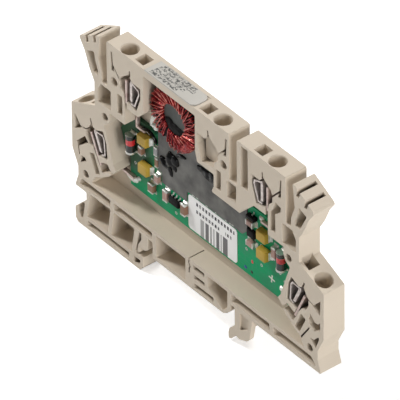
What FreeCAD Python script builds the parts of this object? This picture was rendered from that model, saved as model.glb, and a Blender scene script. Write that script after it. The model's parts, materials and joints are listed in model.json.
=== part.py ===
"""Slim signal converter in a terminal-block housing, open on one side, for a 35 mm rail.

X runs along the housing, Z up from the rail seat, Y through the thickness.
The origin is the middle of the rail seat. The open face looks towards -Y.
Depths are measured from the open face, towards the closed back.
"""
import FreeCAD
import Part
import math
import os
from FreeCAD import Vector

# Overall sizes
LENGTH = 91.0
WIDTH = 6.1
BACK_WALL = 1.1
BODY_OFFSET = 3.7
BLOCK_TOP = 53.3
SHOULDER_HEIGHT = 28.0
SHOULDER_TILT = 24.2

# Rail, foot and latch
RAIL_WIDTH = 35.0
RAIL_FLANGE = 1.0
RAIL_PLAY = 0.6
BASE_UNDERSIDE = 4.2
FOOT_DEPTH = 6.4
FOOT_LENGTH = 25.0
LATCH_REACH = 2.3
LATCH_THICKNESS = 1.8
LATCH_WEB = 1.3

# Ledge below the circuit board
LEDGE_TOP = 8.4
LEDGE_THICKNESS = 1.0
BASE_FLANGE = 1.1
BOARD_LIFT = 3.6

# Terminal cells
UPPER_CELL_SHARE = 0.2907
CELL_PITCH_SHARE = 0.2132
OUTER_CELL_SETBACK = 2.9
WIRE_HOLE = 4.3
WIRE_HOLE_DEPTH = 4.7
CONDUCTOR_HOLE = 2.5
CONDUCTOR_OFFSET = 0.85
DRIVER_HOLE = 3.2
HOLE_SPACING = 5.15
HOLE_DEPTH = 2.45
LEAD_IN = 0.2
CORNER = 0.35

# Marker holders
STEM_SETBACK = 8.7
MARKER_DROP = 4.0
MARKER_GROOVE = 1.1
MARKER_GROOVE_DEPTH = 1.7

# Circuit board and what it carries
BOARD_THICKNESS = 1.0
BOARD_CLEARANCE = 0.4
SHEET_THICKNESS = 0.3
STICKER_LENGTH = 17.6
STICKER_HEIGHT = 9.8
STICKER_THICKNESS = 0.12
LABEL_LENGTH = 17.6
LABEL_THICKNESS = 0.3
CORE_OUTER = 15.4
CORE_INNER = 8.7
CORE_THICKNESS = 1.1
CORE_OFFSET = 0.75
WIRE = 0.4
TURNS = 44
SPRING_THICKNESS = 0.4
BAR_THICKNESS = 0.6
BAR_TAIL_WIDTH = 1.0
PRESSED_IN = 0.15
SEAT_CLEARANCE = 0.05

# Places that follow from the sizes above
FRONT = -WIDTH / 2
POCKET_DEPTH = WIDTH - BACK_WALL
HALF = LENGTH / 2
UPPER_CELL = UPPER_CELL_SHARE * LENGTH
INNER_CELL = UPPER_CELL - CELL_PITCH_SHARE * LENGTH
RAIL_EDGE = RAIL_WIDTH / 2
LEDGE_UNDER = LEDGE_TOP - LEDGE_THICKNESS
GROOVE_BOTTOM = BASE_UNDERSIDE + BASE_FLANGE
SHOULDER_SLOPE = math.tan(math.radians(SHOULDER_TILT))
GAP_FLOOR = BLOCK_TOP - 12.9
FRAME_TOP = BLOCK_TOP - 18.4
FRAME_BOTTOM = BLOCK_TOP - 20.3
WINDOW_WALL = BLOCK_TOP - 15.1
BRIDGE_UNDER = BLOCK_TOP - 2.1
BOARD_FACE = POCKET_DEPTH - BOARD_THICKNESS
BOARD_BOTTOM = LEDGE_TOP + BOARD_LIFT
SHEET_FACE = BOARD_FACE - SHEET_THICKNESS
BLOCK_EDGE = UPPER_CELL + 5.65
BRIDGE_LEFT = -UPPER_CELL + 7.55
BRIDGE_RIGHT = INNER_CELL - 7.25
DRAWN_UPPER_CELL = 26.45


def right(u, z):
    """A point u to the right of the middle of the body."""
    return (BODY_OFFSET + u, z)


def left(u, z):
    """The mirror image of right(u, z)."""
    return (BODY_OFFSET - u, z)


def straight_wire(points, depth):
    corners = [Vector(x, FRONT + depth, z) for x, z in points]
    return Part.makePolygon(corners + corners[:1])


def rounded_wire(points, radius, depth):
    """A closed outline whose corners are arcs, where they are sharp enough for the sides beside them."""
    corners = [Vector(x, FRONT + depth, z) for x, z in points]
    count = len(corners)
    starts = []
    arcs = []
    for i in range(count):
        here = corners[i]
        before = corners[i - 1] - here
        after = corners[(i + 1) % count] - here
        shorter = min(before.Length, after.Length)
        before.normalize()
        after.normalize()
        half_angle = before.getAngle(after) / 2
        trim = min(radius / math.tan(half_angle), 0.4 * shorter)
        if half_angle > math.radians(72):
            starts.append((here, here))
            arcs.append(None)
            continue
        bisector = before + after
        bisector.normalize()
        used = trim * math.tan(half_angle)
        middle = here + bisector * (used / math.sin(half_angle) - used)
        first = here + before * trim
        last = here + after * trim
        starts.append((first, last))
        arcs.append(Part.Arc(first, middle, last).toShape())
    edges = []
    for i in range(count):
        if arcs[i] is not None:
            edges.append(arcs[i])
        following = starts[(i + 1) % count][0]
        edges.append(Part.LineSegment(starts[i][1], following).toShape())
    return Part.Wire(edges)


def prism(points, near, far, radius=0.0):
    """The outline carried from one depth to another."""
    if radius > 0:
        wire = rounded_wire(points, radius, near)
    else:
        wire = straight_wire(points, near)
    solid = Part.Face(wire).extrude(Vector(0, far - near, 0))
    if solid.Volume < 0:
        solid.reverse()
    return solid


def rectangle(x0, z0, x1, z1):
    return [(x0, z0), (x1, z0), (x1, z1), (x0, z1)]


def block(x0, z0, x1, z1, near, far):
    return prism(rectangle(x0, z0, x1, z1), near, far)


def strip(path, thickness):
    """The outline of a bent strip of even thickness, from its centre line."""
    sides = ([], [])
    for i, (x, z) in enumerate(path):
        before = path[max(i - 1, 0)]
        after = path[min(i + 1, len(path) - 1)]
        into = Vector(x - before[0], z - before[1], 0)
        out = Vector(after[0] - x, after[1] - z, 0)
        if i == 0:
            into = out
        if i == len(path) - 1:
            out = into
        into.normalize()
        out.normalize()
        normal = Vector(-into.y - out.y, into.x + out.x, 0)
        normal.normalize()
        reach = thickness / 2 / normal.dot(Vector(-into.y, into.x, 0))
        sides[0].append((x + normal.x * reach, z + normal.y * reach))
        sides[1].append((x - normal.x * reach, z - normal.y * reach))
    return sides[0] + sides[1][::-1]


class Cell:
    """The local frame of one terminal.

    u runs away from the middle of the body and w up, from the wire hole's mouth.
    """

    def __init__(self, x, z, side, tilt=0.0):
        self.x = x
        self.z = z
        self.side = side
        self.cos = math.cos(math.radians(tilt))
        self.sin = math.sin(math.radians(tilt))

    def point(self, u, w):
        along = u * self.cos + w * self.sin
        up = w * self.cos - u * self.sin
        return (self.x + self.side * along, self.z + up)

    def outline(self, points):
        return [self.point(u, w) for u, w in points]

    def out_of_mouth(self):
        return Vector(self.side * self.sin, 0, self.cos)


OUTER_X = HALF - OUTER_CELL_SETBACK
OUTER_Z = SHOULDER_HEIGHT + OUTER_CELL_SETBACK * SHOULDER_SLOPE
CELLS = {
    "lower_left": Cell(BODY_OFFSET - OUTER_X, OUTER_Z, -1, SHOULDER_TILT),
    "upper_left": Cell(BODY_OFFSET - UPPER_CELL, BLOCK_TOP, -1),
    "inner_right": Cell(BODY_OFFSET + INNER_CELL, BLOCK_TOP, 1),
    "upper_right": Cell(BODY_OFFSET + UPPER_CELL, BLOCK_TOP, 1),
    "lower_right": Cell(BODY_OFFSET + OUTER_X, OUTER_Z, 1, SHOULDER_TILT),
}
WIRED = ["lower_left", "upper_left", "upper_right", "lower_right"]
OUTER = ["lower_left", "lower_right"]

# Outlines inside a terminal, in its own frame
WINDOW = [(-6.55, -6.5), (-3.6, -6.5), (-2.2, -5.0), (-1.2, -5.8), (0.4, -6.9), (1.0, -8.2),
          (0.9, -10.3), (-0.3, -11.3), (-0.6, -13.0), (-2.4, -13.3), (-5.0, -13.9), (-6.5, -9.6)]
RELIEF = [(3.65, -2.0), (4.15, -2.0), (3.95, -7.1), (2.9, -7.3), (3.3, -5.3)]
RELIEF_LINK = [(0.7, -8.6), (3.5, -5.5)]
RELIEF_LINK_WIDTH = 0.4
NOTCH = [(-2.95, -3.6), (-2.45, -3.6), (-2.2, -5.3), (-2.9, -5.5)]
LOWER_SLOT = [(0.1, -12.8), (2.0, -12.8), (2.0, -18.3), (0.1, -18.3)]
SIDE_POCKET = [(1.95, -9.3), (3.95, -9.8), (3.85, -11.1), (2.0, -12.9), (0.4, -12.9), (1.25, -11.4)]
LOWER_POCKET = [(-4.4, -14.9), (-1.7, -14.9), (-0.7, -15.6), (-0.9, -17.6), (-4.9, -17.0)]
OUTER_RELIEF = [(-1.15, -2.7), (-3.9, -5.7), (-1.2, -7.1)]
OUTER_RELIEF_LINK = [(-3.5, -5.4), (-5.4, -4.9), (-7.2, -3.4)]
LEFT_POCKETS = [[(-4.8, -7.3), (-6.1, -8.5), (-2.4, -11.6), (-1.6, -10.6)],
                [(-2.5, -11.3), (-2.9, -13.8), (-2.5, -13.9), (-2.0, -11.4)],
                [(-3.3, -13.8), (-4.7, -13.7), (-5.3, -14.5), (-3.0, -16.0)]]
RIGHT_POCKETS = [[(-4.7, -8.4), (-3.2, -10.0), (-2.0, -9.9), (-1.3, -9.0), (-1.2, -11.4), (-3.2, -12.7),
                  (-5.0, -11.6), (-5.4, -10.2)],
                 [(-5.0, -15.4), (-3.4, -15.2), (-1.8, -13.5), (-1.6, -14.1), (-2.8, -17.3), (-4.0, -16.3)],
                 [(-5.2, -12.6), (-4.9, -12.9), (-7.9, -17.5), (-8.3, -17.2)]]
BAR_PLACE = -1.1
PEG_HOLE = (2.93, -10.1)
PEG_RADIUS = 1.2


def upper_half():
    """The right half of the outline above the base, from the bottom corner inwards."""
    tip_z = BLOCK_TOP - MARKER_DROP
    stem = HALF - STEM_SETBACK
    return [
        (HALF - 0.9, BASE_UNDERSIDE),
        (HALF - 2.1, BASE_UNDERSIDE + 3.6),
        (HALF - 2.1, BASE_UNDERSIDE + 6.2),
        (HALF, BASE_UNDERSIDE + 10.6),
        (HALF, SHOULDER_HEIGHT),
        (stem, SHOULDER_HEIGHT + STEM_SETBACK * SHOULDER_SLOPE),
        (stem, tip_z - 10.4),
        (stem + 1.8, tip_z - 7.3),
        (stem + 3.5, tip_z - 3.2),
        (stem + 5.3, tip_z - 0.6),
        (stem + 4.9, tip_z + 0.1),
        (BLOCK_EDGE + 2.4, BLOCK_TOP),
        (BLOCK_EDGE + 3.2, BLOCK_TOP - 6.8),
        (BLOCK_EDGE + 1.9, BLOCK_TOP - 10.4),
        (BLOCK_EDGE + 1.9, GAP_FLOOR),
        (BLOCK_EDGE, GAP_FLOOR),
        (BLOCK_EDGE, BLOCK_TOP),
    ]


def body_outline():
    gap_right = BODY_OFFSET + UPPER_CELL - 11.65
    gap_left = BODY_OFFSET + INNER_CELL + 4.95
    half = upper_half()
    points = [right(u, z) for u, z in half]
    points += [(gap_right, BLOCK_TOP), (gap_right, GAP_FLOOR), (gap_left, GAP_FLOOR), (gap_left, BLOCK_TOP)]
    points += [left(u, z) for u, z in reversed(half)]
    hook_end = -RAIL_EDGE + 1.5
    foot_left = hook_end - FOOT_LENGTH
    points += [
        (foot_left + 4.2, BASE_UNDERSIDE),
        (foot_left + 4.2, BASE_UNDERSIDE - 2.1),
        (foot_left, -2.2),
        (foot_left, -FOOT_DEPTH + 0.9),
        (foot_left + 0.9, -FOOT_DEPTH),
        (hook_end - 1.2, -FOOT_DEPTH),
        (hook_end, -FOOT_DEPTH + 1.6),
        (hook_end, 0.0),
        (RAIL_EDGE - 4.3, 0.0),
        (RAIL_EDGE - 2.8, 0.9),
        (RAIL_EDGE - 1.6, 2.6),
        (RAIL_EDGE - 1.6, BASE_UNDERSIDE),
    ]
    return points


def hook_cut():
    """The rail's slot beside the foot, with the room in which the spring tongue moves."""
    top = BASE_UNDERSIDE + 0.4
    grip = -RAIL_FLANGE - RAIL_PLAY - 0.6
    return prism([(-RAIL_EDGE - 1.4, grip), (-RAIL_EDGE + 5.1, grip), (-RAIL_EDGE + 5.1, top),
                  (-RAIL_EDGE + 0.1, top)], -1, WIDTH + 1, CORNER)


def tongue():
    """The spring finger that presses on the edge of the rail."""
    top = BASE_UNDERSIDE + 1
    return prism([(-RAIL_EDGE + 0.95, top), (-RAIL_EDGE + 0.95, 2.8), (-RAIL_EDGE - 0.2, 0.8),
                  (-RAIL_EDGE - 0.55, -1.3), (-RAIL_EDGE + 0.2, -1.5), (-RAIL_EDGE + 0.3, 0.2),
                  (-RAIL_EDGE + 2.3, 0.35), (-RAIL_EDGE + 3.3, 1.2), (-RAIL_EDGE + 3.3, top)],
                 0, WIDTH, CORNER)


def latch_leg():
    """The springy leg that snaps under the other edge of the rail, with the thin web that stiffens it."""
    top = BASE_UNDERSIDE + 0.5
    edge = RAIL_EDGE - 0.1
    outer = edge + LATCH_THICKNESS
    leg = prism([(edge, top), (edge, -RAIL_FLANGE), (edge - LATCH_REACH + 0.4, -2.9),
                 (edge - LATCH_REACH, -4.3), (edge - LATCH_REACH + 0.1, -6.1), (edge - 1.3, -5.7),
                 (edge - 0.2, -4.4), (outer, -2.6), (outer, top)], 0, WIDTH, CORNER)
    web = prism([(edge + 0.5, top), (edge + 0.5, -3.8), (edge + 1.6, -4.1), (edge + 4.4, -3.0),
                 (edge + 5.3, -1.9), (edge + 6.1, 2.4), (edge + 6.4, top)], 0, LATCH_WEB, CORNER)
    dish = prism([(outer, top - 1.0), (edge + 5.4, top - 1.0), (edge + 4.6, 0.4), (outer, -1.3)],
                 -1, LATCH_WEB / 2, CORNER)
    return leg.fuse(web).cut(dish)


def chamber_side():
    """The right-hand edge of the chamber, up from the ledge, around the outer terminal."""
    return [
        (HALF - 6.8, LEDGE_TOP), (HALF - 8.4, LEDGE_TOP + 2.4), (HALF - 10.8, LEDGE_TOP + 3.8),
        (HALF - 13.6, SHOULDER_HEIGHT - 13.8), (HALF - 16.2, SHOULDER_HEIGHT - 10.8),
        (HALF - 15.2, SHOULDER_HEIGHT - 9.4), (HALF - 14.5, SHOULDER_HEIGHT - 7.2),
        (HALF - 12.7, SHOULDER_HEIGHT - 1.8), (HALF - 11.9, SHOULDER_HEIGHT + 0.4),
        (HALF - 13.4, SHOULDER_HEIGHT + 1.3), (HALF - 14.3, SHOULDER_HEIGHT + 3.0),
        (HALF - 14.1, FRAME_BOTTOM),
    ]


def chamber_outline():
    side = chamber_side()
    points = [right(u, z) for u, z in side]
    points += [right(UPPER_CELL - 0.85, FRAME_BOTTOM), right(UPPER_CELL - 0.85, WINDOW_WALL),
               right(UPPER_CELL - 5.65, WINDOW_WALL), right(UPPER_CELL - 9.7, BLOCK_TOP - 19.0),
               right(UPPER_CELL - 10.7, FRAME_BOTTOM), right(INNER_CELL - 1.4, FRAME_BOTTOM),
               right(INNER_CELL - 0.6, FRAME_TOP), right(INNER_CELL - 0.6, WINDOW_WALL + 0.2),
               right(INNER_CELL - 6.5, WINDOW_WALL + 0.2), right(BRIDGE_RIGHT, GAP_FLOOR + 0.7),
               right(BRIDGE_RIGHT, BRIDGE_UNDER), right(BRIDGE_LEFT, BRIDGE_UNDER),
               right(BRIDGE_LEFT, GAP_FLOOR), left(UPPER_CELL - 5.65, WINDOW_WALL),
               left(UPPER_CELL - 0.85, WINDOW_WALL), left(UPPER_CELL - 0.85, FRAME_BOTTOM)]
    points += [left(u, z) for u, z in reversed(side)]
    return points


def mouth_cuts(name):
    """A terminal's round wire hole, which narrows for the bare conductor, and its square driver hole."""
    cell = CELLS[name]
    mouth = Vector(cell.x, FRONT + HOLE_DEPTH, cell.z)
    outward = cell.out_of_mouth()
    radius = WIRE_HOLE / 2
    cuts = [Part.makeCylinder(radius, WIRE_HOLE_DEPTH + 0.5, mouth + outward * 0.5, outward * -1)]
    x, z = cell.point(CONDUCTOR_OFFSET, 0)
    cuts.append(Part.makeCylinder(CONDUCTOR_HOLE / 2, 8.2, Vector(x, FRONT + HOLE_DEPTH, z), outward * -1))
    cuts.append(Part.makeCone(radius, radius + 2 * LEAD_IN, 2 * LEAD_IN, mouth - outward * LEAD_IN, outward))
    half = DRIVER_HOLE / 2
    driver = [(-HOLE_SPACING - half, 1), (-HOLE_SPACING + half, 1), (-HOLE_SPACING + half, -7.2),
              (-HOLE_SPACING + 0.2, -7.2), (-HOLE_SPACING - half + 0.5, -7.2)]
    cuts.append(prism(cell.outline(driver), HOLE_DEPTH - half, HOLE_DEPTH + half))
    return cuts


def pocket_cuts(name):
    """The pockets of one terminal, open towards the front."""
    cell = CELLS[name]
    cuts = [prism(cell.outline(WINDOW), -1, POCKET_DEPTH, CORNER),
            prism(cell.outline(NOTCH), -1, POCKET_DEPTH - 1)]
    if name in OUTER:
        cuts += corner_cuts(name)
    else:
        cuts.append(prism(cell.outline(RELIEF), -1, POCKET_DEPTH - 1))
        cuts.append(prism(cell.outline(strip(RELIEF_LINK, RELIEF_LINK_WIDTH)), -1, POCKET_DEPTH - 1))
    if name in ("upper_left", "inner_right"):
        x, z = cell.point(*PEG_HOLE)
        cuts.append(Part.makeCylinder(PEG_RADIUS, POCKET_DEPTH + 1, Vector(x, FRONT - 1, z), Vector(0, 1, 0)))
        cuts.append(prism(cell.outline(LOWER_SLOT), -1, POCKET_DEPTH, CORNER))
    else:
        cuts.append(prism(cell.outline(LOWER_SLOT), -1, POCKET_DEPTH, CORNER))
    if name == "upper_right":
        cuts.append(prism(cell.outline(SIDE_POCKET), -1, POCKET_DEPTH))
    if name in OUTER:
        cuts.append(prism(cell.outline(LOWER_POCKET), -1, POCKET_DEPTH, CORNER))
    if name in WIRED:
        room = bar_path(name)
        cuts.append(prism(cell.outline(strip(room, BAR_THICKNESS + 0.3)), -1, BOARD_FACE + 0.1))
    return cuts


def corner_cuts(name):
    """The relief and the small pockets between an outer terminal and the end of the housing."""
    place, pockets = (left, LEFT_POCKETS) if name == "lower_left" else (right, RIGHT_POCKETS)

    def outline(points):
        return [place(HALF + u, SHOULDER_HEIGHT + z) for u, z in points]

    cuts = [prism(outline(OUTER_RELIEF), -1, POCKET_DEPTH - 1),
            prism(outline(strip(OUTER_RELIEF_LINK, RELIEF_LINK_WIDTH)), -1, POCKET_DEPTH - 1)]
    return cuts + [prism(outline(points), -1, POCKET_DEPTH - 1) for points in pockets]


def bar_path(name):
    """The centre line of a current bar in its terminal's frame."""
    if name in OUTER:
        return [(BAR_PLACE, -7.3), (BAR_PLACE, -15.4), (-8.8, -19.3)]
    drop = BLOCK_TOP - FRAME_BOTTOM + 1.75
    tail = 2.9 if name == "upper_left" else 5.9
    return [(BAR_PLACE, -7.3), (BAR_PLACE, -drop), (BAR_PLACE - tail, -drop)]


def peg_holes():
    """Holes beside the outer terminals for the pegs of the next module."""
    places = [(HALF - 12.4, SHOULDER_HEIGHT + 2.8), (HALF - 4.9, LEDGE_TOP + 1.2)]
    cuts = []
    for u, z in places:
        for x, height in (left(u, z), right(u, z)):
            cuts.append(Part.makeCylinder(PEG_RADIUS - 0.1, POCKET_DEPTH + 1, Vector(x, FRONT - 1, height),
                                          Vector(0, 1, 0)))
    return cuts


def marker_cuts():
    """The window, the two grooves and the box below one marker holder, on both sides."""
    stem = HALF - STEM_SETBACK
    tip_z = BLOCK_TOP - MARKER_DROP
    inner = BLOCK_EDGE + 2.4
    slope = (BLOCK_TOP - tip_z) / (stem + 4.9 - inner)
    window = [(stem - 0.1, tip_z - 1.7), (stem + 2.7, tip_z - 2.9), (stem + 0.4, tip_z - 7.7),
              (stem - 1.5, tip_z - 7.8), (stem - 1.5, tip_z - 6.5), (stem - 0.4, tip_z - 3.9)]
    box = [(BLOCK_EDGE - 1.3, FRAME_TOP - 1.0), (stem - 1.1, FRAME_TOP - 1.0), (stem - 1.1, GAP_FLOOR - 2.9),
           (stem - 2.4, GAP_FLOOR - 0.8), (BLOCK_EDGE - 1.3, GAP_FLOOR - 0.8)]
    cuts = []
    for place in (left, right):
        cuts.append(prism([place(u, z) for u, z in window], -1, POCKET_DEPTH, CORNER))
        cuts.append(prism([place(u, z) for u, z in box], -1, POCKET_DEPTH, CORNER))
        for along in (2.4, 5.2):
            u = inner + along
            z = BLOCK_TOP - slope * along
            half = MARKER_GROOVE / 2
            groove = [(u - half, z + 1.2), (u + half, z + 1.2), (u + half - 0.6, z - MARKER_GROOVE_DEPTH),
                      (u - half - 0.6, z - MARKER_GROOVE_DEPTH)]
            cuts.append(prism([place(a, b) for a, b in groove], -1, WIDTH - 0.9))
    return cuts


def post_cuts():
    """The tall groove in the post beside the upper right terminal and the pocket at its foot."""
    post = BODY_OFFSET + UPPER_CELL - 10.35
    gap = post - 4.1
    return [prism(rectangle(post, GAP_FLOOR + 0.6, post + 2.6, BLOCK_TOP - 0.7), -1, POCKET_DEPTH, CORNER),
            prism(rectangle(gap - 0.8, FRAME_TOP, gap + 2.5, GAP_FLOOR - 0.7), -1, POCKET_DEPTH, CORNER)]


def base_cuts():
    """The grooves and pockets below the ledge, in the seat and in the foot."""
    hook_end = -RAIL_EDGE + 1.5
    foot = hook_end - FOOT_LENGTH
    low = BASE_UNDERSIDE + 0.4
    seat_left = -RAIL_EDGE + 5.1
    ends = HALF - 3.0
    outlines = [
        [left(ends + 0.7, GROOVE_BOTTOM), (foot + 13.1, GROOVE_BOTTOM), (foot + 13.1, LEDGE_UNDER),
         left(ends - 0.4, LEDGE_UNDER)],
        rectangle(foot + 14.4, GROOVE_BOTTOM, seat_left - 0.2, LEDGE_UNDER),
        rectangle(RAIL_EDGE - 1.4, GROOVE_BOTTOM, RAIL_EDGE + 12.4, LEDGE_UNDER),
        [(RAIL_EDGE + 13.8, GROOVE_BOTTOM), right(ends + 0.7, GROOVE_BOTTOM),
         right(ends - 1.5, LEDGE_UNDER), (RAIL_EDGE + 13.8, LEDGE_UNDER)],
        [(foot + 4.2, -2.8), (foot + 12.0, -2.8), (foot + 13.1, low), (foot + 5.7, low)],
        [(foot + 13.1, -2.8), (foot + 20.8, -2.8), (foot + 21.9, low), (foot + 14.4, low)],
        [(foot + 3.7, BASE_UNDERSIDE - 2.9), (foot + 1.2, -1.2), (foot + 1.3, -3.2), (foot + 2.0, -4.3),
         (foot + 2.8, -4.2)],
        rectangle(foot + 4.5, -FOOT_DEPTH + 1.0, foot + 19.8, -FOOT_DEPTH + 2.6),
        [(foot + 21.5, -FOOT_DEPTH + 1.0), (foot + 23.0, -FOOT_DEPTH + 1.2), (foot + 24.0, -FOOT_DEPTH + 2.3),
         (foot + 24.0, -FOOT_DEPTH + 2.9), (foot + 21.5, -FOOT_DEPTH + 2.8)],
        rectangle(seat_left + 1.2, 1.0, seat_left + 12.0, LEDGE_UNDER),
        rectangle(seat_left + 14.7, LEDGE_UNDER - 1.4, seat_left + 18.9, LEDGE_UNDER - 0.1),
        rectangle(seat_left + 15.0, LEDGE_UNDER - 4.0, seat_left + 19.0, LEDGE_UNDER - 2.8),
        rectangle(seat_left + 15.0, 0.8, seat_left + 22.2, 2.2),
        [(seat_left + 20.0, LEDGE_UNDER - 0.1), (seat_left + 20.0, 4.1), (seat_left + 25.5, 0.7),
         (seat_left + 26.6, 1.5), (seat_left + 27.2, 3.0), (seat_left + 27.2, LEDGE_UNDER - 0.1)],
    ]
    return [prism(points, -1, POCKET_DEPTH, CORNER) for points in outlines]


def ledge_slit():
    """The thin slit across the ledge and the wavy gap that carries on below it."""
    x = -RAIL_EDGE + 18.4
    slit = block(x - 0.15, LEDGE_UNDER - 0.2, x + 0.2, LEDGE_TOP + 1, -1, POCKET_DEPTH - 0.5)
    wave = strip([(x, LEDGE_UNDER + 0.2), (x - 0.1, LEDGE_UNDER - 0.3), (x + 0.4, LEDGE_UNDER - 1.2),
                  (x, LEDGE_UNDER - 2.2), (x + 0.05, LEDGE_UNDER - 3.3)], 0.45)
    return [slit, prism(wave, -1, POCKET_DEPTH)]


def label_recess():
    start, end = label_span()
    return [prism(rectangle(start - 0.1, BLOCK_TOP - LABEL_THICKNESS / 2, end + 0.1, BLOCK_TOP + 1), -1,
                  POCKET_DEPTH + 0.1)]


def label_span():
    start = BODY_OFFSET + BRIDGE_LEFT + 0.6
    return start, start + LABEL_LENGTH


def make_housing():
    body = prism(body_outline(), 0, WIDTH, CORNER)
    body = body.cut(hook_cut())
    body = body.fuse([tongue(), latch_leg()])
    cuts = [prism(chamber_outline(), -1, POCKET_DEPTH, CORNER)]
    cuts += peg_holes() + marker_cuts() + post_cuts() + base_cuts() + ledge_slit() + label_recess()
    body = body.cut(cuts)
    limit = prism([left(HALF - 1.0, 0), right(HALF - 1.0, 0), right(HALF - 1.0, BLOCK_TOP + 2),
                   left(HALF - 1.0, BLOCK_TOP + 2)], -2, WIDTH)
    for name in CELLS:
        for cut in pocket_cuts(name):
            body = body.cut(cut.common(limit) if name in OUTER else cut)
        for cut in mouth_cuts(name):
            body = body.cut(cut)
    return body.removeSplitter()


def make_label():
    start, end = label_span()
    z = BLOCK_TOP - LABEL_THICKNESS / 2
    plate = block(start, z, end, z + LABEL_THICKNESS, 0.0, POCKET_DEPTH)
    corner = [edge for edge in plate.Edges
              if abs(edge.BoundBox.XMin - end) < 1e-6 and edge.BoundBox.ZLength > 0.1]
    return plate.makeFillet(POCKET_DEPTH / 3, corner)


def make_spring(name):
    """A tension clamp: a strip of steel bent into a loop that hooks on its own end."""
    loop = [(-2.9, -12.9), (-4.2, -12.9), (-5.75, -8.8), (-5.6, -7.8), (-3.5, -7.0), (-3.15, -7.5),
            (-3.15, -12.3)]
    hook = [(-3.5, -7.0), (-3.0, -6.7), (-2.75, -7.3), (-2.75, -12.1)]
    cell = CELLS[name]
    strips = [prism(cell.outline(strip(path, SPRING_THICKNESS)), PRESSED_IN, POCKET_DEPTH - 0.2)
              for path in (loop, hook)]
    return strips[0].fuse(strips[1]).removeSplitter()


def make_bar(name):
    """The tinned bar that carries current from a clamp down to the circuit board, with its narrow tail."""
    cell = CELLS[name]
    path = bar_path(name)
    half = BAR_THICKNESS / 2
    stem = [path[0], (path[1][0], path[1][1] - half)]
    stem = prism(cell.outline(strip(stem, BAR_THICKNESS)), PRESSED_IN, BOARD_FACE)
    tail = prism(cell.outline(strip(path[1:], BAR_THICKNESS)), BOARD_FACE - BAR_TAIL_WIDTH, BOARD_FACE)
    return stem.fuse(tail).removeSplitter()


def make_board():
    c = BOARD_CLEARANCE
    side = [(HALF - 16.6, BOARD_BOTTOM), (HALF - 16.6, SHOULDER_HEIGHT - 8.1), (HALF - 15.0, SHOULDER_HEIGHT - 6.9),
            (HALF - 13.2, SHOULDER_HEIGHT - 1.6), (HALF - 14.6 - c, SHOULDER_HEIGHT + 1.3),
            (HALF - 14.6 - c, FRAME_BOTTOM - c)]
    top = [right(BRIDGE_RIGHT - c, FRAME_BOTTOM - c), right(BRIDGE_RIGHT - c, BRIDGE_UNDER - c),
           right(BRIDGE_LEFT + c, BRIDGE_UNDER - c), right(BRIDGE_LEFT + c, FRAME_BOTTOM - c)]
    points = [right(u, z) for u, z in side] + top + [left(u, z) for u, z in reversed(side)]
    return prism(points, BOARD_FACE, POCKET_DEPTH)


def make_sheet():
    """The grey insulating sheet between the board and the transformer."""
    x0 = BODY_OFFSET + BRIDGE_LEFT + 0.6
    x1 = BODY_OFFSET + BRIDGE_RIGHT - 0.6
    low = BOARD_BOTTOM + STICKER_HEIGHT + 1.0
    points = [(x0 + 1.3, low - 3.0), (x0 + 10.2, low - 3.0), (x0 + 10.4, low), (x1 + 12.8, low),
              (x1 + 14.6, low + 1.8), (x1 + 14.6, FRAME_BOTTOM - 1.0), (x1, FRAME_BOTTOM - 1.0),
              (x1, BRIDGE_UNDER - 1.0), (x0, BRIDGE_UNDER - 1.0), (x0, low - 0.2), (x0 + 1.3, low - 0.2)]
    return prism(points, SHEET_FACE, BOARD_FACE)


def make_sticker():
    x = BODY_OFFSET - 7.7
    z = BOARD_BOTTOM + 0.5
    return prism(rectangle(x, z, x + STICKER_LENGTH, z + STICKER_HEIGHT), BOARD_FACE - STICKER_THICKNESS,
                 BOARD_FACE, 0.6)


def core_centre():
    x = BODY_OFFSET + (BRIDGE_LEFT + BRIDGE_RIGHT) / 2 - CORE_OFFSET
    z = BRIDGE_UNDER - CORE_OUTER / 2 - WIRE - SEAT_CLEARANCE - 0.15
    return x, z


def core_depths():
    far = SHEET_FACE - WIRE - SEAT_CLEARANCE
    return far - CORE_THICKNESS, far


def make_core():
    x, z = core_centre()
    near, far = core_depths()
    start = Vector(x, FRONT + near, z)
    ring = Part.makeCylinder(CORE_OUTER / 2, far - near, start, Vector(0, 1, 0))
    ring = ring.cut(Part.makeCylinder(CORE_INNER / 2, far - near, start, Vector(0, 1, 0)))
    return ring.makeChamfer(0.25, [edge for edge in ring.Edges if edge.Curve.TypeId == "Part::GeomCircle"])


def make_winding():
    """Turns of enamelled wire around the ring core, each a closed loop beside the next."""
    x, z = core_centre()
    near, far = core_depths()
    gap = SEAT_CLEARANCE
    inner = (CORE_INNER / 2 - gap, near - gap, CORE_OUTER / 2 + gap, far + gap)
    outer = (inner[0] - WIRE, inner[1] - WIRE, inner[2] + WIRE, inner[3] + WIRE)

    def section(bounds, corner):
        r0, d0, r1, d1 = bounds
        points = [(x + r0 + corner, d0), (x + r1 - corner, d0), (x + r1, d0 + corner), (x + r1, d1 - corner),
                  (x + r1 - corner, d1), (x + r0 + corner, d1), (x + r0, d1 - corner), (x + r0, d0 + corner)]
        if corner == 0:
            points = points[::2]
        wire = Part.makePolygon([Vector(a, FRONT + d, z - WIRE / 2) for a, d in points + points[:1]])
        return Part.Face(wire).extrude(Vector(0, 0, WIRE))

    loop = section(outer, WIRE * 0.6).cut(section(inner, 0))
    turns = []
    for i in range(TURNS):
        turn = loop.copy()
        turn.rotate(Vector(x, 0, z), Vector(0, 1, 0), 360.0 * i / TURNS)
        turns.append(turn)
    return Part.makeCompound(turns)


def component(x, z, size_x, size_z, height):
    """A moulded body that stands on the board, with a slight chamfer on its upper edges."""
    body = block(x - size_x / 2, z - size_z / 2, x + size_x / 2, z + size_z / 2, BOARD_FACE - height, BOARD_FACE)
    top = [edge for edge in body.Edges if edge.BoundBox.YMax < FRONT + BOARD_FACE - height + 1e-3]
    return body.makeChamfer(min(0.2, height / 5), top)


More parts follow.
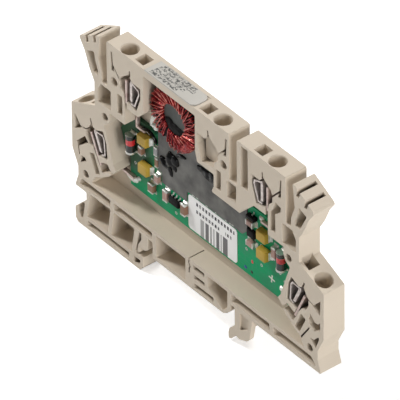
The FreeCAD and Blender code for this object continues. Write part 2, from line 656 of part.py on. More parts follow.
def make_diode(x, z):
    """A glass cylinder diode lying on the board, with a metal cap at each end."""
    radius = 1.25
    start = Vector(x, FRONT + BOARD_FACE - radius, z - 2.6)
    body = Part.makeCylinder(radius - 0.15, 5.2, start, Vector(0, 0, 1))
    caps = [Part.makeCylinder(radius, 0.7, start, Vector(0, 0, 1)),
            Part.makeCylinder(radius, 0.7, start + Vector(0, 0, 4.5), Vector(0, 0, 1))]
    return body.fuse(caps).removeSplitter()


def make_dome(x, z, radius, height, face):
    """A low round heap, such as solder or glue, on a surface at the given depth."""
    ball_radius = (radius * radius + height * height) / (2 * height)
    centre = Vector(x, FRONT + face + ball_radius - height, z)
    ball = Part.makeSphere(ball_radius, centre)
    keep = Part.makeBox(2 * radius + 2, height, 2 * radius + 2,
                        Vector(x - radius - 1, FRONT + face - height, z - radius - 1))
    return ball.common(keep)


def place_on_board(u, z):
    """Components spread with the board's length and keep their height above its lower edge."""
    return BODY_OFFSET + u * UPPER_CELL / DRAWN_UPPER_CELL, BOARD_BOTTOM + z


def board_parts():
    parts = {}
    tantalum = [(-22.5, 17.2), (-22.3, 8.9), (20.5, 15.9), (20.5, 10.6)]
    for i, (u, z) in enumerate(tantalum, 1):
        parts["tantalum_capacitor_%d" % i] = component(*place_on_board(u, z), 3.5, 2.8, 2.0)
    ceramic = [(-24.1, 13.0, 1.4, 2.4), (-20.4, 4.4, 1.9, 2.7), (-18.3, 8.3, 1.5, 2.5), (-15.1, 5.3, 1.7, 3.2),
               (-8.6, 5.3, 1.7, 3.4), (15.4, 16.2, 2.6, 1.5), (15.5, 10.3, 2.6, 1.5), (24.0, 12.9, 1.5, 3.4)]
    for i, (u, z, size_x, size_z) in enumerate(ceramic, 1):
        parts["ceramic_capacitor_%d" % i] = component(*place_on_board(u, z), size_x, size_z, 1.2)
    parts["switching_transistor"] = component(*place_on_board(16.0, 19.1), 3.0, 2.6, 1.4)
    parts["signal_transistor"] = component(*place_on_board(15.6, 13.25), 2.6, 2.2, 1.0)
    parts["driver_circuit"] = component(*place_on_board(-11.85, 5.9), 3.6, 2.6, 1.3)
    parts["diode_left"] = make_diode(*place_on_board(-27.3, 13.4))
    parts["diode_right"] = make_diode(*place_on_board(27.1, 12.8))
    return parts


def solder_joints():
    """Joints at the ends of the current bars and at the ends of the winding."""
    heaps = []
    for name in WIRED:
        cell = CELLS[name]
        x, z = cell.point(*bar_path(name)[-1])
        x -= cell.side * (BAR_THICKNESS / 2 + 0.6)
        heaps.append(make_dome(x, z, 0.65, 0.5, BOARD_FACE))
    return Part.makeCompound(heaps)


def adhesive():
    """The black blob that fixes the transformer's leads to the sheet."""
    x, z = core_centre()
    near_core = z - CORE_OUTER / 2
    return make_dome(x - 3.8, near_core - 7.0, 2.8, 1.3, SHEET_FACE)


def main():
    nodes = {
        "housing": make_housing(),
        "label_strip": make_label(),
        "circuit_board": make_board(),
        "insulating_sheet": make_sheet(),
        "barcode_sticker": make_sticker(),
        "toroid_core": make_core(),
        "toroid_winding": make_winding(),
        "adhesive_blob": adhesive(),
        "solder_joints": solder_joints(),
    }
    for name in WIRED:
        nodes["clamp_spring_" + name] = make_spring(name)
        nodes["current_bar_" + name] = make_bar(name)
    nodes.update(board_parts())
    os.makedirs("parts", exist_ok=True)
    for name, shape in nodes.items():
        if not shape.isValid():
            print("not valid:", name)
        shape.exportStep(os.path.join("parts", name + ".step"))
        box = shape.BoundBox
        print("%-28s %2d solids %9.2f mm3  x %7.2f %7.2f  y %5.2f %5.2f  z %7.2f %7.2f" % (
            name, len(shape.Solids), shape.Volume, box.XMin, box.XMax, box.YMin, box.YMax, box.ZMin, box.ZMax))


main()
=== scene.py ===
"""Looks of a slim signal converter in an open terminal-block housing.

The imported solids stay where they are. This script gives them their finishes and adds
the fine work that the solids leave out: the wound wire, tinned ends, pads and leads,
adhesive, solder and the printing on the sticker.
"""
from __future__ import annotations

import json
import logging
import math
import random
from dataclasses import dataclass, field, replace
from enum import Enum
from functools import cached_property
from typing import Any, Callable, Sequence

import bpy
import bmesh
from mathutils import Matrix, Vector

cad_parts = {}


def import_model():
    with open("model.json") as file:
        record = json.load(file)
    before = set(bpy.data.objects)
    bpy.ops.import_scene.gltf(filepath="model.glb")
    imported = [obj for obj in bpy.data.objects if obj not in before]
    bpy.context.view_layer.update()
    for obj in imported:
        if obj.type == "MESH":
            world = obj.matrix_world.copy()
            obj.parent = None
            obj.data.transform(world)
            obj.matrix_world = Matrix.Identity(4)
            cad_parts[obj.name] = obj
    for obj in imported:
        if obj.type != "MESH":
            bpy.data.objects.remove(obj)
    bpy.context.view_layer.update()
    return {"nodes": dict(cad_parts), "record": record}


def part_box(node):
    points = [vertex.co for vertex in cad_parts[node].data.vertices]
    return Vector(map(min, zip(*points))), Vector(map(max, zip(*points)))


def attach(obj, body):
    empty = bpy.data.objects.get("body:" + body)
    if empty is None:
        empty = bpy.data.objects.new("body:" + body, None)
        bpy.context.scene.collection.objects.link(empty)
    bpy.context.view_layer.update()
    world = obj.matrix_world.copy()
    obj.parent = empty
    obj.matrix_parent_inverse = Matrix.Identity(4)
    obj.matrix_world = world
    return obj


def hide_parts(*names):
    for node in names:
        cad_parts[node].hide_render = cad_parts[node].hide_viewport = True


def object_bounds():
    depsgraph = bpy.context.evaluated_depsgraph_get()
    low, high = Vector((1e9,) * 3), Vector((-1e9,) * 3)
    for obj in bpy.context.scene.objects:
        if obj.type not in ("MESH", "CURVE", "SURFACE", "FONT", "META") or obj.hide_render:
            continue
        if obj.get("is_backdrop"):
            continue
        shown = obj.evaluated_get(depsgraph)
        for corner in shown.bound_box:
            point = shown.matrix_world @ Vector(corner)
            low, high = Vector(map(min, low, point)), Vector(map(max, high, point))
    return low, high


logging.basicConfig(level=logging.INFO, format="%(message)s")
log = logging.getLogger("signal_converter")

Colour = tuple[float, float, float, float]
Socket = bpy.types.NodeSocket
Piece = bpy.types.Object
Face = bmesh.types.BMFace
Triple = tuple[float, float, float]

MM = 0.001
BODY = "root"
ALONG = 0.9  # least cosine between a direction and the normals that count as lying along it


def mm(x: float, y: float, z: float) -> Vector:
    """A point given in millimetres, in metres."""
    return Vector((x, y, z)) * MM


def show(name: str, data: bpy.types.ID) -> Piece:
    """Adds an object that shows a camera, a light or a curve."""
    piece = bpy.data.objects.new(name, data)
    bpy.context.scene.collection.objects.link(piece)
    return piece


def corners(box: Sequence[Sequence[float]], unit: float = 1.0) -> tuple[Vector, Vector]:
    """The lowest and the highest corner of a node's box, in metres or in another unit."""
    return Vector(box[0]) / unit, Vector(box[1]) / unit


class Slot(Enum):
    """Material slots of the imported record."""

    HOUSING = "housing"
    LABEL = "label"
    BOARD = "board"
    SHEET = "sheet"
    STICKER = "sticker"
    FERRITE = "ferrite"
    WINDING = "winding"
    ADHESIVE = "adhesive"
    SOLDER = "solder"
    SPRING = "spring_steel"
    BAR = "tinned_bar"
    TANTALUM = "tantalum"
    CERAMIC = "ceramic_chip"
    EPOXY = "black_epoxy"
    DIODE = "diode"


def linear(*channels: int) -> Colour:
    """A colour seen on a screen, as the scene-linear colour that the shaders take.

    Args:
        channels: Red, green and blue, 0 to 255.

    Returns:
        The linear red, green, blue and an alpha of 1.
    """
    def one(c: int) -> float:
        """One channel made linear."""
        v = c / 255
        return v / 12.92 if v <= 0.04045 else ((v + 0.055) / 1.055) ** 2.4

    return (*map(one, channels), 1.0)


def grey(v: float) -> Colour:
    """An even grey."""
    return (v, v, v, 1.0)


class Graph:
    """A node tree with short calls for the nodes that the finishes share."""

    def __init__(self, tree: bpy.types.NodeTree) -> None:
        """Keeps the tree that the calls add to."""
        self.tree = tree

    def feed(self, node: bpy.types.Node, values: dict[Any, Any]) -> bpy.types.Node:
        """Gives a node's inputs a link where a value is an output, or else the value itself.

        Args:
            node: The node.
            values: Value of each input, by the input's name or number.

        Returns:
            The same node.
        """
        for key, value in values.items():
            if isinstance(value, Socket):
                self.tree.links.new(value, node.inputs[key])
            else:
                node.inputs[key].default_value = value
        return node

    def add(self, kind: str, values: dict[Any, Any] | None = None, **settings: Any) -> bpy.types.Node:
        """Adds a node.

        Args:
            kind: The node's type name.
            values: Values or outputs for its inputs, by name or number.
            settings: Properties of the node, by name.

        Returns:
            The new node.
        """
        node = self.tree.nodes.new(kind)
        for name, value in settings.items():
            setattr(node, name, value)
        return self.feed(node, values or {})

    def math(self, operation: str, a: Any, b: Any = 0.0, clamp: bool = False) -> Socket:
        """A math node on two numbers or outputs.

        Args:
            operation: The node's operation.
            a: First number or output.
            b: Second number or output.
            clamp: Whether the result is kept between 0 and 1.

        Returns:
            The node's output.
        """
        return self.add("ShaderNodeMath", {0: a, 1: b}, operation=operation, use_clamp=clamp).outputs[0]

    def product(self, first: Any, *others: Any) -> Socket:
        """Numbers or outputs multiplied one after another."""
        for other in others:
            first = self.math("MULTIPLY", first, other)
        return first

    def between(self, value: Socket, low: float, high: float) -> Socket:
        """1 where a value lies between two numbers, and 0 elsewhere."""
        return self.product(self.math("GREATER_THAN", value, low), self.math("LESS_THAN", value, high))

    def mix(self, factor: Any, a: Any, b: Any) -> Socket:
        """A colour mix of two colours or outputs.

        Args:
            factor: Number or output that moves from a to b.
            a: First colour or output.
            b: Second colour or output.

        Returns:
            The mixed colour output.
        """
        return self.add("ShaderNodeMix", {0: factor, 6: a, 7: b}, data_type="RGBA").outputs[2]

    def millimetres(self, stretch: Triple = (1, 1, 1)) -> Socket:
        """Object coordinates in millimetres, with a further scale along each axis."""
        where = self.add("ShaderNodeTexCoord").outputs["Object"]
        scale = tuple(s / MM for s in stretch)
        return self.add("ShaderNodeMapping", {"Vector": where, "Scale": scale}).outputs["Vector"]

    def axes(self) -> bpy.types.NodeOutputs:
        """Object coordinates in millimetres as outputs X, Y and Z."""
        return self.add("ShaderNodeSeparateXYZ", {"Vector": self.millimetres()}).outputs

    def noise(self, vector: Socket, scale: float, detail: float = 2.0, rough: float = 0.5) -> Socket:
        """A noise texture's value.

        Args:
            vector: The coordinates.
            scale: Noise cells per unit.
            detail: Number of finer layers.
            rough: Weight of the finer layers.

        Returns:
            The value output.
        """
        values = {"Vector": vector, "Scale": scale, "Detail": detail, "Roughness": rough}
        return self.add("ShaderNodeTexNoise", values).outputs["Fac"]

    def ramp(self, value: Socket, stops: Sequence[tuple[float, Colour]]) -> Socket:
        """A colour ramp.

        Args:
            value: What moves along the ramp.
            stops: Places and colours.

        Returns:
            The colour output.
        """
        node = self.add("ShaderNodeValToRGB", {"Fac": value})
        elements = node.color_ramp.elements
        while len(elements) < len(stops):
            elements.new(0.5)
        for element, (place, colour) in zip(elements, stops):
            element.position = place
            element.color = colour
        return node.outputs["Color"]

    def fade(self, value: Socket, start: float, end: float, first: float = 0.0) -> Socket:
        """A ramp from black to white, or from white to black where first is 1."""
        return self.ramp(value, [(start, grey(first)), (end, grey(1 - first))])

    def hollows(self, reach: float, start: float, end: float) -> Socket:
        """A mask for painted shade: white in narrow hollows, where shade falls, and black in the open.

        Args:
            reach: How far a surface looks for its neighbours, in millimetres.
            start: Openness up to which a place is white.
            end: Openness from which it is black.

        Returns:
            The colour output.
        """
        corner = self.add("ShaderNodeAmbientOcclusion", {"Distance": reach * MM}, samples=8)
        return self.fade(corner.outputs["AO"], start, end, 1.0)

    def bump(self, height: Socket, strength: Socket, depth: float, **others: Socket) -> Socket:
        """Relief in the surface.

        Args:
            height: What the relief follows.
            strength: How much of it shows.
            depth: Its full depth in millimetres.
            others: Further inputs of the node, by name.

        Returns:
            The changed normal.
        """
        values = {"Height": height, "Strength": strength, "Distance": depth * MM, **others}
        return self.add("ShaderNodeBump", values).outputs["Normal"]


class SurfaceGroups:
    """The shared node groups: each is built once and placed in many materials."""

    results = {"Color": "NodeSocketColor", "Roughness": "NodeSocketFloat", "Normal": "NodeSocketVector"}
    edge_radius = 0.14
    grain_depth = 0.03
    line_depth = 0.02

    def start(self, name: str, inputs: dict[str, Any]) -> tuple[Graph, bpy.types.NodeOutputs]:
        """Makes an empty group with its sockets.

        Args:
            name: The group's name.
            inputs: Default of each input, a colour or a number.

        Returns:
            The graph and the sockets that carry the inputs.
        """
        tree = bpy.data.node_groups.new(name, "ShaderNodeTree")
        for label, value in inputs.items():
            kind = "NodeSocketColor" if isinstance(value, tuple) else "NodeSocketFloat"
            tree.interface.new_socket(label, in_out="INPUT", socket_type=kind).default_value = value
        for label, kind in self.results.items():
            tree.interface.new_socket(label, in_out="OUTPUT", socket_type=kind)
        g = Graph(tree)
        return g, g.add("NodeGroupInput").outputs

    @cached_property
    def moulded(self) -> bpy.types.NodeTree:
        """Spark-eroded mould texture: fine grain, soft mottling and painted highlights along the edges."""
        g, given = self.start("Moulded surface", {"Color": grey(0.5), "Mottle": 0.06, "Grain": 0.25,
                                                  "Roughness": 0.5, "Edge Highlight": 0.0})
        where = g.millimetres()
        broad = g.noise(where, 0.16, 3, 0.55)
        fine = g.noise(where, 5.0, 3, 0.6)
        tint = g.math("ADD", 1.0, g.product(g.math("SUBTRACT", broad, 0.5), given["Mottle"], 4.0))
        plain = g.add("ShaderNodeHueSaturation", {"Color": given["Color"], "Value": tint}).outputs["Color"]
        rounded = g.add("ShaderNodeBevel", {"Radius": self.edge_radius * MM}, samples=4).outputs["Normal"]
        true_normal = g.add("ShaderNodeNewGeometry").outputs["True Normal"]
        turn = g.add("ShaderNodeVectorMath", {0: rounded, 1: true_normal}, operation="DOT_PRODUCT")
        # Painted highlight: the colour turns paler and greyer where the rounded normal leaves the true one,
        # along the edges.
        rim = g.fade(turn.outputs["Value"], 0.86, 0.985, 1.0)
        edge_highlight = g.add("ShaderNodeHueSaturation", {"Color": plain, "Saturation": 0.7, "Value": 1.3})
        g.add("NodeGroupOutput", {
            "Color": g.mix(g.product(rim, given["Edge Highlight"]), plain, edge_highlight.outputs["Color"]),
            "Roughness": g.math("ADD", given["Roughness"], g.product(g.math("SUBTRACT", fine, 0.5), 0.25)),
            "Normal": g.bump(fine, given["Grain"], self.grain_depth, Normal=rounded)})
        return g.tree

    @cached_property
    def drawn_metal(self) -> bpy.types.NodeTree:
        """Rolled or drawn metal: fine lines along the strip, and dull patches."""
        g, given = self.start("Drawn metal", {"Color": grey(0.6), "Tarnish": grey(0.3), "Roughness": 0.3,
                                              "Lines": 0.2})
        lines = g.noise(g.millimetres((0.8, 14.0, 14.0)), 1.0)
        dull = g.fade(g.noise(g.millimetres(), 1.3, 3, 0.6), 0.45, 0.7)
        spread = g.product(g.math("SUBTRACT", lines, 0.4), 0.35)
        g.add("NodeGroupOutput", {
            "Color": g.mix(g.product(dull, 0.6), given["Color"], given["Tarnish"]),
            "Roughness": g.math("ADD", given["Roughness"], spread, clamp=True),
            "Normal": g.bump(lines, given["Lines"], self.line_depth)})
        return g.tree


GROUPS = SurfaceGroups()


@dataclass(frozen=True)
class Finish:
    """One finish: a name, a base colour and how the surface answers light."""

    name: str
    colour: Colour
    roughness: float = 0.5
    metallic: float = 0.0
    coat: float = 0.0
    specular: float = 0.5

    def shell(self) -> tuple[bpy.types.Material, Graph, bpy.types.Node]:
        """A new material with its plain values set.

        Returns:
            The material, its graph and its Principled shader.
        """
        material = bpy.data.materials.new(self.name)
        material.use_nodes = True
        g = Graph(material.node_tree)
        shader = g.feed(material.node_tree.nodes["Principled BSDF"], {
            "Base Color": self.colour, "Roughness": self.roughness, "Metallic": self.metallic,
            "Coat Weight": self.coat, "Specular IOR Level": self.specular})
        return material, g, shader

    def make(self) -> bpy.types.Material:
        """Builds the material."""
        return self.shell()[0]


@dataclass(frozen=True)
class MouldedPlastic(Finish):
    """Plastic with the grain of its mould, painted highlights along its edges and painted shade in its
    hollows.
    """

    mottle: float = 0.05
    grain: float = 0.3
    # How strongly painted highlights lighten the edges.
    edge: float = 0.0
    # Painted shade: a dark colour mixed in where the surface lies in a narrow hollow; its alpha is how much
    # shows, then how far it looks and where it fades.
    hollow_shade: Colour = (0.0, 0.0, 0.0, 0.0)
    hollow_shade_reach: float = 2.5
    hollow_shade_fade: tuple[float, float] = (0.1, 0.46)

    def tint(self, g: Graph, colour: Socket) -> Socket:
        """The colour that reaches the shader; finishes with a pattern change it here."""
        return colour

    def make(self) -> bpy.types.Material:
        """Builds the material from the shared moulded group."""
        material, g, shader = self.shell()
        surface = g.add("ShaderNodeGroup", {
            "Color": self.colour, "Mottle": self.mottle, "Grain": self.grain, "Roughness": self.roughness,
            "Edge Highlight": self.edge}, node_tree=GROUPS.moulded).outputs
        colour = surface["Color"]
        # Painted shade in hollows and corners, darkest where they are narrowest.
        if self.hollow_shade[3] > 0:
            depth = g.product(g.hollows(self.hollow_shade_reach, *self.hollow_shade_fade), self.hollow_shade[3])
            colour = g.mix(depth, colour, (*self.hollow_shade[:3], 1.0))
        g.feed(shader, {"Base Color": self.tint(g, colour), "Roughness": surface["Roughness"],
                        "Normal": surface["Normal"]})
        return material


@dataclass(frozen=True)
class PrintedPaper(MouldedPlastic):
    """Paper with plain upright bars and rows of short dashes or smudges that spell nothing."""

    ink: Colour = (0.12, 0.12, 0.13, 1.0)
    bars: tuple[Triple, ...] = ()
    bar_top: float = 0.0
    rows: tuple[tuple[float, float, float, float], ...] = ()
    strength: float = 0.6
    dashes: float = 0.9
    dash_share: float = 0.62
    across: str = "Z"

    def tint(self, g: Graph, colour: Socket) -> Socket:
        """Lays the bars and the rows over the paper's colour."""
        place = g.axes()
        x, z = place["X"], place[self.across]
        for start, end, dark in self.bars:
            inside = g.product(g.between(x, start, end), g.math("LESS_THAN", z, self.bar_top))
            colour = g.mix(g.product(inside, dark), colour, self.ink)
        patch = g.noise(g.millimetres(), 1.1, 1)
        for low, high, start, end in self.rows:
            if self.dashes > 0:
                mark = g.math("LESS_THAN", g.math("FRACT", g.product(x, self.dashes)), self.dash_share)
            else:
                mark = g.fade(g.noise(g.millimetres((1.0, 1.6, 1.0)), 1.5, 3, 0.6), 0.44, 0.56)
            inside = g.product(g.between(z, low, high), g.between(x, start, end))
            weight = g.product(inside, mark, g.product(patch, self.strength * 2))
            colour = g.mix(g.math("MINIMUM", weight, 1.0), colour, self.ink)
        return colour


@dataclass(frozen=True)
class CircuitLacquer(MouldedPlastic):
    """Green lacquer over copper tracks that show as paler lines, with painted shade over the deep upper left.
    """

    track: Colour = (0.03, 0.3, 0.17, 1.0)
    track_share: float = 0.4
    shade: Colour = (0.06, 0.22, 0.14, 1.0)
    shade_share: float = 0.35
    # Painted shade: colour and strength of the darkening in the deep upper left, where the housing shades the
    # board.
    corner_shade: Colour = (0.042, 0.082, 0.048, 1.0)
    corner_shade_share: float = 0.9

    def tint(self, g: Graph, colour: Socket) -> Socket:
        """Lays the tracks, slow patches and the painted shade of the upper left corner over the lacquer's
        colour.
        """
        turned = g.add("ShaderNodeMapping", {"Vector": g.millimetres(), "Rotation": (math.radians(90), 0, 0)})
        tracks = g.add("ShaderNodeTexBrick", {
            "Vector": turned.outputs["Vector"], "Scale": 0.22, "Mortar Size": 0.035, "Brick Width": 0.9,
            "Row Height": 0.34}, offset=0.37, squash=0.7, squash_frequency=3)
        colour = g.mix(g.product(tracks.outputs["Fac"], self.track_share), colour, self.track)
        patch = g.fade(g.noise(g.millimetres(), 0.13), 0.42, 0.62)
        colour = g.mix(g.product(patch, self.shade_share), colour, self.shade)
        # Painted shade, darker towards the left and upwards.
        place = g.axes()
        left = g.fade(g.math("DIVIDE", g.math("ADD", place["X"], 30.0), 20.0), 0.55, 0.85, 1.0)
        upper = g.fade(g.math("DIVIDE", g.math("ADD", place["Z"], -12.0), 8.0), 0.3, 0.8)
        return g.mix(g.product(left, upper, self.corner_shade_share), colour, self.corner_shade)


@dataclass(frozen=True)
class Enamel(Finish):
    """Enamelled wire whose colour strays from turn to turn."""

    dark: Colour = (0.1, 0.01, 0.02, 1.0)
    bright: Colour = (0.6, 0.2, 0.16, 1.0)
    spread: float = 0.9
    unevenness: float = 0.15

    def make(self) -> bpy.types.Material:
        """Builds the material with its patches of darker and brighter wire."""
        material, g, shader = self.shell()
        patch = g.noise(g.millimetres(), self.spread, 3, 0.6)
        uneven = g.product(g.noise(g.millimetres(), 4.0), self.unevenness)
        g.feed(shader, {
            "Base Color": g.ramp(patch, [(0.34, self.dark), (0.5, self.colour), (0.68, self.bright)]),
            "Roughness": g.math("ADD", self.roughness, uneven)})
        return material


@dataclass(frozen=True)
class DrawnMetal(Finish):
    """Bright metal with drawing lines, a little tarnish and painted shade in its hollows."""

    tarnish: Colour = (0.25, 0.23, 0.2, 1.0)
    lines: float = 0.3
    # Painted shade: how strongly a near-black colour darkens the metal in narrow hollows, that colour, and
    # how far it looks for them.
    metal_hollow_shade: float = 0.0
    metal_hollow_shade_colour: Colour = (0.02, 0.016, 0.014, 1.0)
    metal_hollow_shade_reach: float = 2.2

    def make(self) -> bpy.types.Material:
        """Builds the material from the shared metal group."""
        material, g, shader = self.shell()
        surface = g.add("ShaderNodeGroup", {
            "Color": self.colour, "Tarnish": self.tarnish, "Roughness": self.roughness,
            "Lines": self.lines}, node_tree=GROUPS.drawn_metal).outputs
        colour = surface["Color"]
        # Painted shade in the metal's hollows.
        if self.metal_hollow_shade > 0:
            depth = g.product(g.hollows(self.metal_hollow_shade_reach, 0.2, 0.6), self.metal_hollow_shade)
            colour = g.mix(depth, colour, self.metal_hollow_shade_colour)
        g.feed(shader, {"Base Color": colour, "Roughness": surface["Roughness"], "Normal": surface["Normal"]})
        return material


@dataclass
class Studio:
    """Camera, lights, world and floor.

    The lamps' places and sizes are in metres, the camera's place and the target in millimetres.
    """

    lens: float = 882.0
    camera_place: Triple = (1359.794, -1082.874, 1412.551)
    camera_turn: Triple = (51.36465, 0.40248, 51.11867)
    target: Triple = (4, 0, 25)
    lamps: tuple[tuple[str, Triple, float, float], ...] = (
        ("left", (-0.93, -0.38, 0.97), 0.22, 12.4), ("right", (1.2, -0.15, 0.35), 0.5, 9.4),
        ("behind", (-0.3, 0.9, 1.0), 0.4, 8.0), ("front", (1.0, -1.0, 0.2), 0.5, 0.85))
    even_light: float = 0.1
    mirrored_light: float = 0.28
    floor_glow: float = 0.45

    def camera(self) -> None:
        """Places the camera that the photograph was taken with, by its fitted place and turn."""
        data = bpy.data.cameras.new("photograph_camera")
        data.sensor_width = 36.0
        data.lens = self.lens
        data.clip_start = 0.1
        data.clip_end = 20.0
        camera = show("photograph_camera", data)
        camera.location = mm(*self.camera_place)
        camera.rotation_euler = tuple(math.radians(a) for a in self.camera_turn)
        bpy.context.scene.camera = camera

    def lights(self) -> None:
        """Square soft lamps from the left, the right, behind and in front, and a faint even world."""
        for name, place, size, watts in self.lamps:
            data = bpy.data.lights.new(name, "AREA")
            data.size = size
            data.energy = watts
            lamp = show(name, data)
            lamp.location = place
            lamp.rotation_euler = (mm(*self.target) - Vector(place)).to_track_quat("-Z", "Y").to_euler()
        world = bpy.data.worlds.new("studio")
        bpy.context.scene.world = world
        world.use_nodes = True
        g = Graph(world.node_tree)
        ray = g.add("ShaderNodeLightPath").outputs
        seen = g.math("MAXIMUM", ray["Is Camera Ray"], ray["Is Transmission Ray"])
        level = g.math("ADD", self.even_light, g.product(seen, 1 - self.even_light))
        mirrored = g.product(ray["Is Glossy Ray"], self.mirrored_light)
        g.feed(world.node_tree.nodes["Background"], {"Strength": g.math("MAXIMUM", level, mirrored),
                                                     "Color": (1.0, 0.99, 0.98, 1.0)})

    def floor(self, height: float) -> None:
        """A white floor that keeps the object's soft shadow.

        Args:
            height: The floor's height in metres.
        """
        bpy.ops.mesh.primitive_plane_add(size=8.0, location=(0, 0, height))
        plane = bpy.context.object
        plane.name = "studio_floor"
        white = Finish("studio_white", grey(0.9), roughness=0.9, specular=0.1)
        material, g, shader = white.shell()
        seen = g.add("ShaderNodeLightPath").outputs["Is Camera Ray"]
        g.feed(shader, {"Emission Strength": g.product(seen, self.floor_glow), "Emission Color": grey(1)})
        plane.data.materials.append(material)
        plane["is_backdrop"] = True

    def build(self, low: Vector) -> None:
        """Makes the whole studio.

        Args:
            low: The object's lowest corner.
        """
        bpy.context.scene.view_settings.view_transform = "Standard"
        self.camera()
        self.lights()
        self.floor(low.z)
        log.info("studio: camera, four lamps, world and floor")


# The housing's dark brown mix in its hollows is painted shade, and its edge value paints highlights along its
# edges.
HOUSING = MouldedPlastic("beige_polyamide", linear(211, 198, 180), roughness=0.55, specular=0.3, mottle=0.02,
                         grain=0.35, edge=0.55, hollow_shade=(0.1, 0.068, 0.042, 0.85), hollow_shade_reach=2.4)
LABEL = PrintedPaper("label_strip", linear(196, 192, 184), roughness=0.55, specular=0.3, mottle=0.05,
                     grain=0.1, ink=linear(88, 88, 86), strength=0.95, dashes=0.0, across="Y",
                     rows=((-2.65, -1.65, -13.4, -4.0), (-1.45, -0.4, -13.2, -2.5),
                           (-0.25, 0.75, -13.0, -0.6), (0.85, 1.75, -12.6, -1.0), (1.9, 2.6, -12.0, -2.0)))
BOARD = CircuitLacquer("green_lacquer", linear(3, 160, 102), roughness=0.35, specular=0.12, mottle=0.04,
                       grain=0.08)
SHEET = MouldedPlastic("grey_sheet", linear(96, 95, 91), roughness=0.42, specular=0.4, mottle=0.8, grain=0.25)
STICKER = PrintedPaper("white_sticker", linear(250, 249, 247), roughness=0.5, specular=0.3, mottle=0.01,
                       grain=0.1, ink=linear(62, 60, 64), bar_top=17.5,
                       bars=((0.4, 1.7, 0.6), (2.2, 3.4, 0.85), (4.0, 4.4, 0.9), (5.0, 5.5, 0.5),
                             (6.1, 7.2, 0.85), (7.7, 8.0, 0.7), (8.5, 10.2, 0.85)),
                       rows=((20.4, 21.4, -1.4, 12.7), (18.3, 19.2, -1.2, 7.2), (18.3, 19.2, 9.4, 11.6)),
                       strength=0.95)
FERRITE = MouldedPlastic("ferrite", linear(34, 32, 32), roughness=0.8, specular=0.2, mottle=0.1, grain=0.5)
ENAMEL = Enamel("red_enamel", linear(146, 12, 26), roughness=0.14, metallic=0.55,
                dark=linear(84, 5, 15), bright=linear(206, 92, 84))
COPPER_ENAMEL = Enamel("copper_enamel", linear(206, 96, 82), roughness=0.2, metallic=0.4, coat=0.4,
                       dark=linear(160, 44, 46), bright=linear(232, 168, 150))
GLUE = Finish("black_glue", linear(10, 10, 10), roughness=0.06, specular=0.22)
FOAM = MouldedPlastic("black_filling", linear(14, 13, 12), roughness=0.6, specular=0.15, mottle=0.1,
                      grain=0.5)
SLEEVE = MouldedPlastic("dark_plug", linear(86, 89, 86), roughness=0.55, specular=0.25, mottle=0.2, grain=0.3)
SOLDER = DrawnMetal("solder", linear(214, 214, 208), roughness=0.34, metallic=0.8,
                    tarnish=linear(150, 148, 140))
FRESH_SOLDER = DrawnMetal("fresh_solder", linear(248, 250, 244), roughness=0.3, metallic=0.3,
                          tarnish=linear(206, 206, 196), lines=0.1)
# The springs and the bars darken in their hollows by painted shade, the springs more.
SPRING = DrawnMetal("spring_steel", linear(222, 212, 206), roughness=0.34, metallic=0.7,
                    tarnish=linear(140, 124, 116), metal_hollow_shade=0.9)
BAR = DrawnMetal("tinned_copper", linear(214, 196, 188), roughness=0.36, metallic=0.7,
                 tarnish=linear(160, 118, 110), metal_hollow_shade=0.7)
# The capacitors' edge value paints highlights along their edges.
TANTALUM = MouldedPlastic("ochre_moulding", linear(188, 156, 60), roughness=0.45, specular=0.35, mottle=0.07,
                          grain=0.25, edge=0.2)
CERAMIC = MouldedPlastic("brown_ceramic", linear(142, 106, 84), roughness=0.4, mottle=0.08, grain=0.2)
PALE_CERAMIC = MouldedPlastic("pinkish_ceramic", linear(178, 142, 130), roughness=0.4, mottle=0.05, grain=0.2)
GREY_CERAMIC = MouldedPlastic("pale_grey_chip", linear(168, 168, 168), roughness=0.45, mottle=0.05, grain=0.2)
EPOXY = MouldedPlastic("black_epoxy", linear(15, 15, 15), roughness=0.5, specular=0.12, mottle=0.05,
                       grain=0.3)
DIODE, DIODE_BLACK, DIODE_PALE = (
    MouldedPlastic(name, linear(*rgb), roughness=0.16, coat=0.5, mottle=0.03, grain=0.05)
    for name, rgb in (("red_band", (206, 44, 50)), ("black_band", (28, 32, 30)),
                      ("pale_band", (196, 206, 186))))
RED_PAINT, BLUE_PAINT, BLACK_PAINT = (
    MouldedPlastic(name, linear(*rgb), roughness=0.4, mottle=0.03, grain=0.1)
    for name, rgb in (("red_touch", (214, 66, 72)), ("blue_touch", (44, 78, 150)),
                      ("black_touch", (34, 44, 36))))
PRINT = MouldedPlastic("white_print", linear(232, 230, 220), roughness=0.5, mottle=0.03, grain=0.1)

FINISHES: dict[Slot, Finish] = {
    Slot.HOUSING: HOUSING, Slot.LABEL: LABEL, Slot.BOARD: BOARD, Slot.SHEET: SHEET, Slot.STICKER: STICKER,
    Slot.FERRITE: FERRITE, Slot.WINDING: ENAMEL, Slot.ADHESIVE: GLUE, Slot.SOLDER: SOLDER,
    Slot.SPRING: SPRING, Slot.BAR: BAR, Slot.TANTALUM: TANTALUM, Slot.CERAMIC: CERAMIC,
    Slot.EPOXY: EPOXY, Slot.DIODE: DIODE,
}


class Finishes:
    """Makes each finish's material once."""

    def __init__(self) -> None:
        """Starts with no material made."""
        self.made: dict[str, bpy.types.Material] = {}

    def of(self, finish: Finish) -> bpy.types.Material:
        """The material of a finish, made at its first use."""
        if finish.name not in self.made:
            self.made[finish.name] = finish.make()
        return self.made[finish.name]


FINISH = Finishes()


def dress(piece: Piece, *finishes: Finish) -> None:
    """Gives a piece its materials in place of what it has.

    Args:
        piece: The piece.
        finishes: One finish for each material slot.
    """
    piece.data.materials.clear()
    for finish in finishes:
        piece.data.materials.append(FINISH.of(finish))


def dress_nodes(frame: dict[str, Any]) -> None:
    """Gives every carried-over node the finish of its slot."""
    for part in frame["record"]["subparts"]:
        dress(frame["nodes"][part["node"]], FINISHES[Slot(part["material_slot"])])
    log.info("nodes: %d dressed", len(frame["nodes"]))


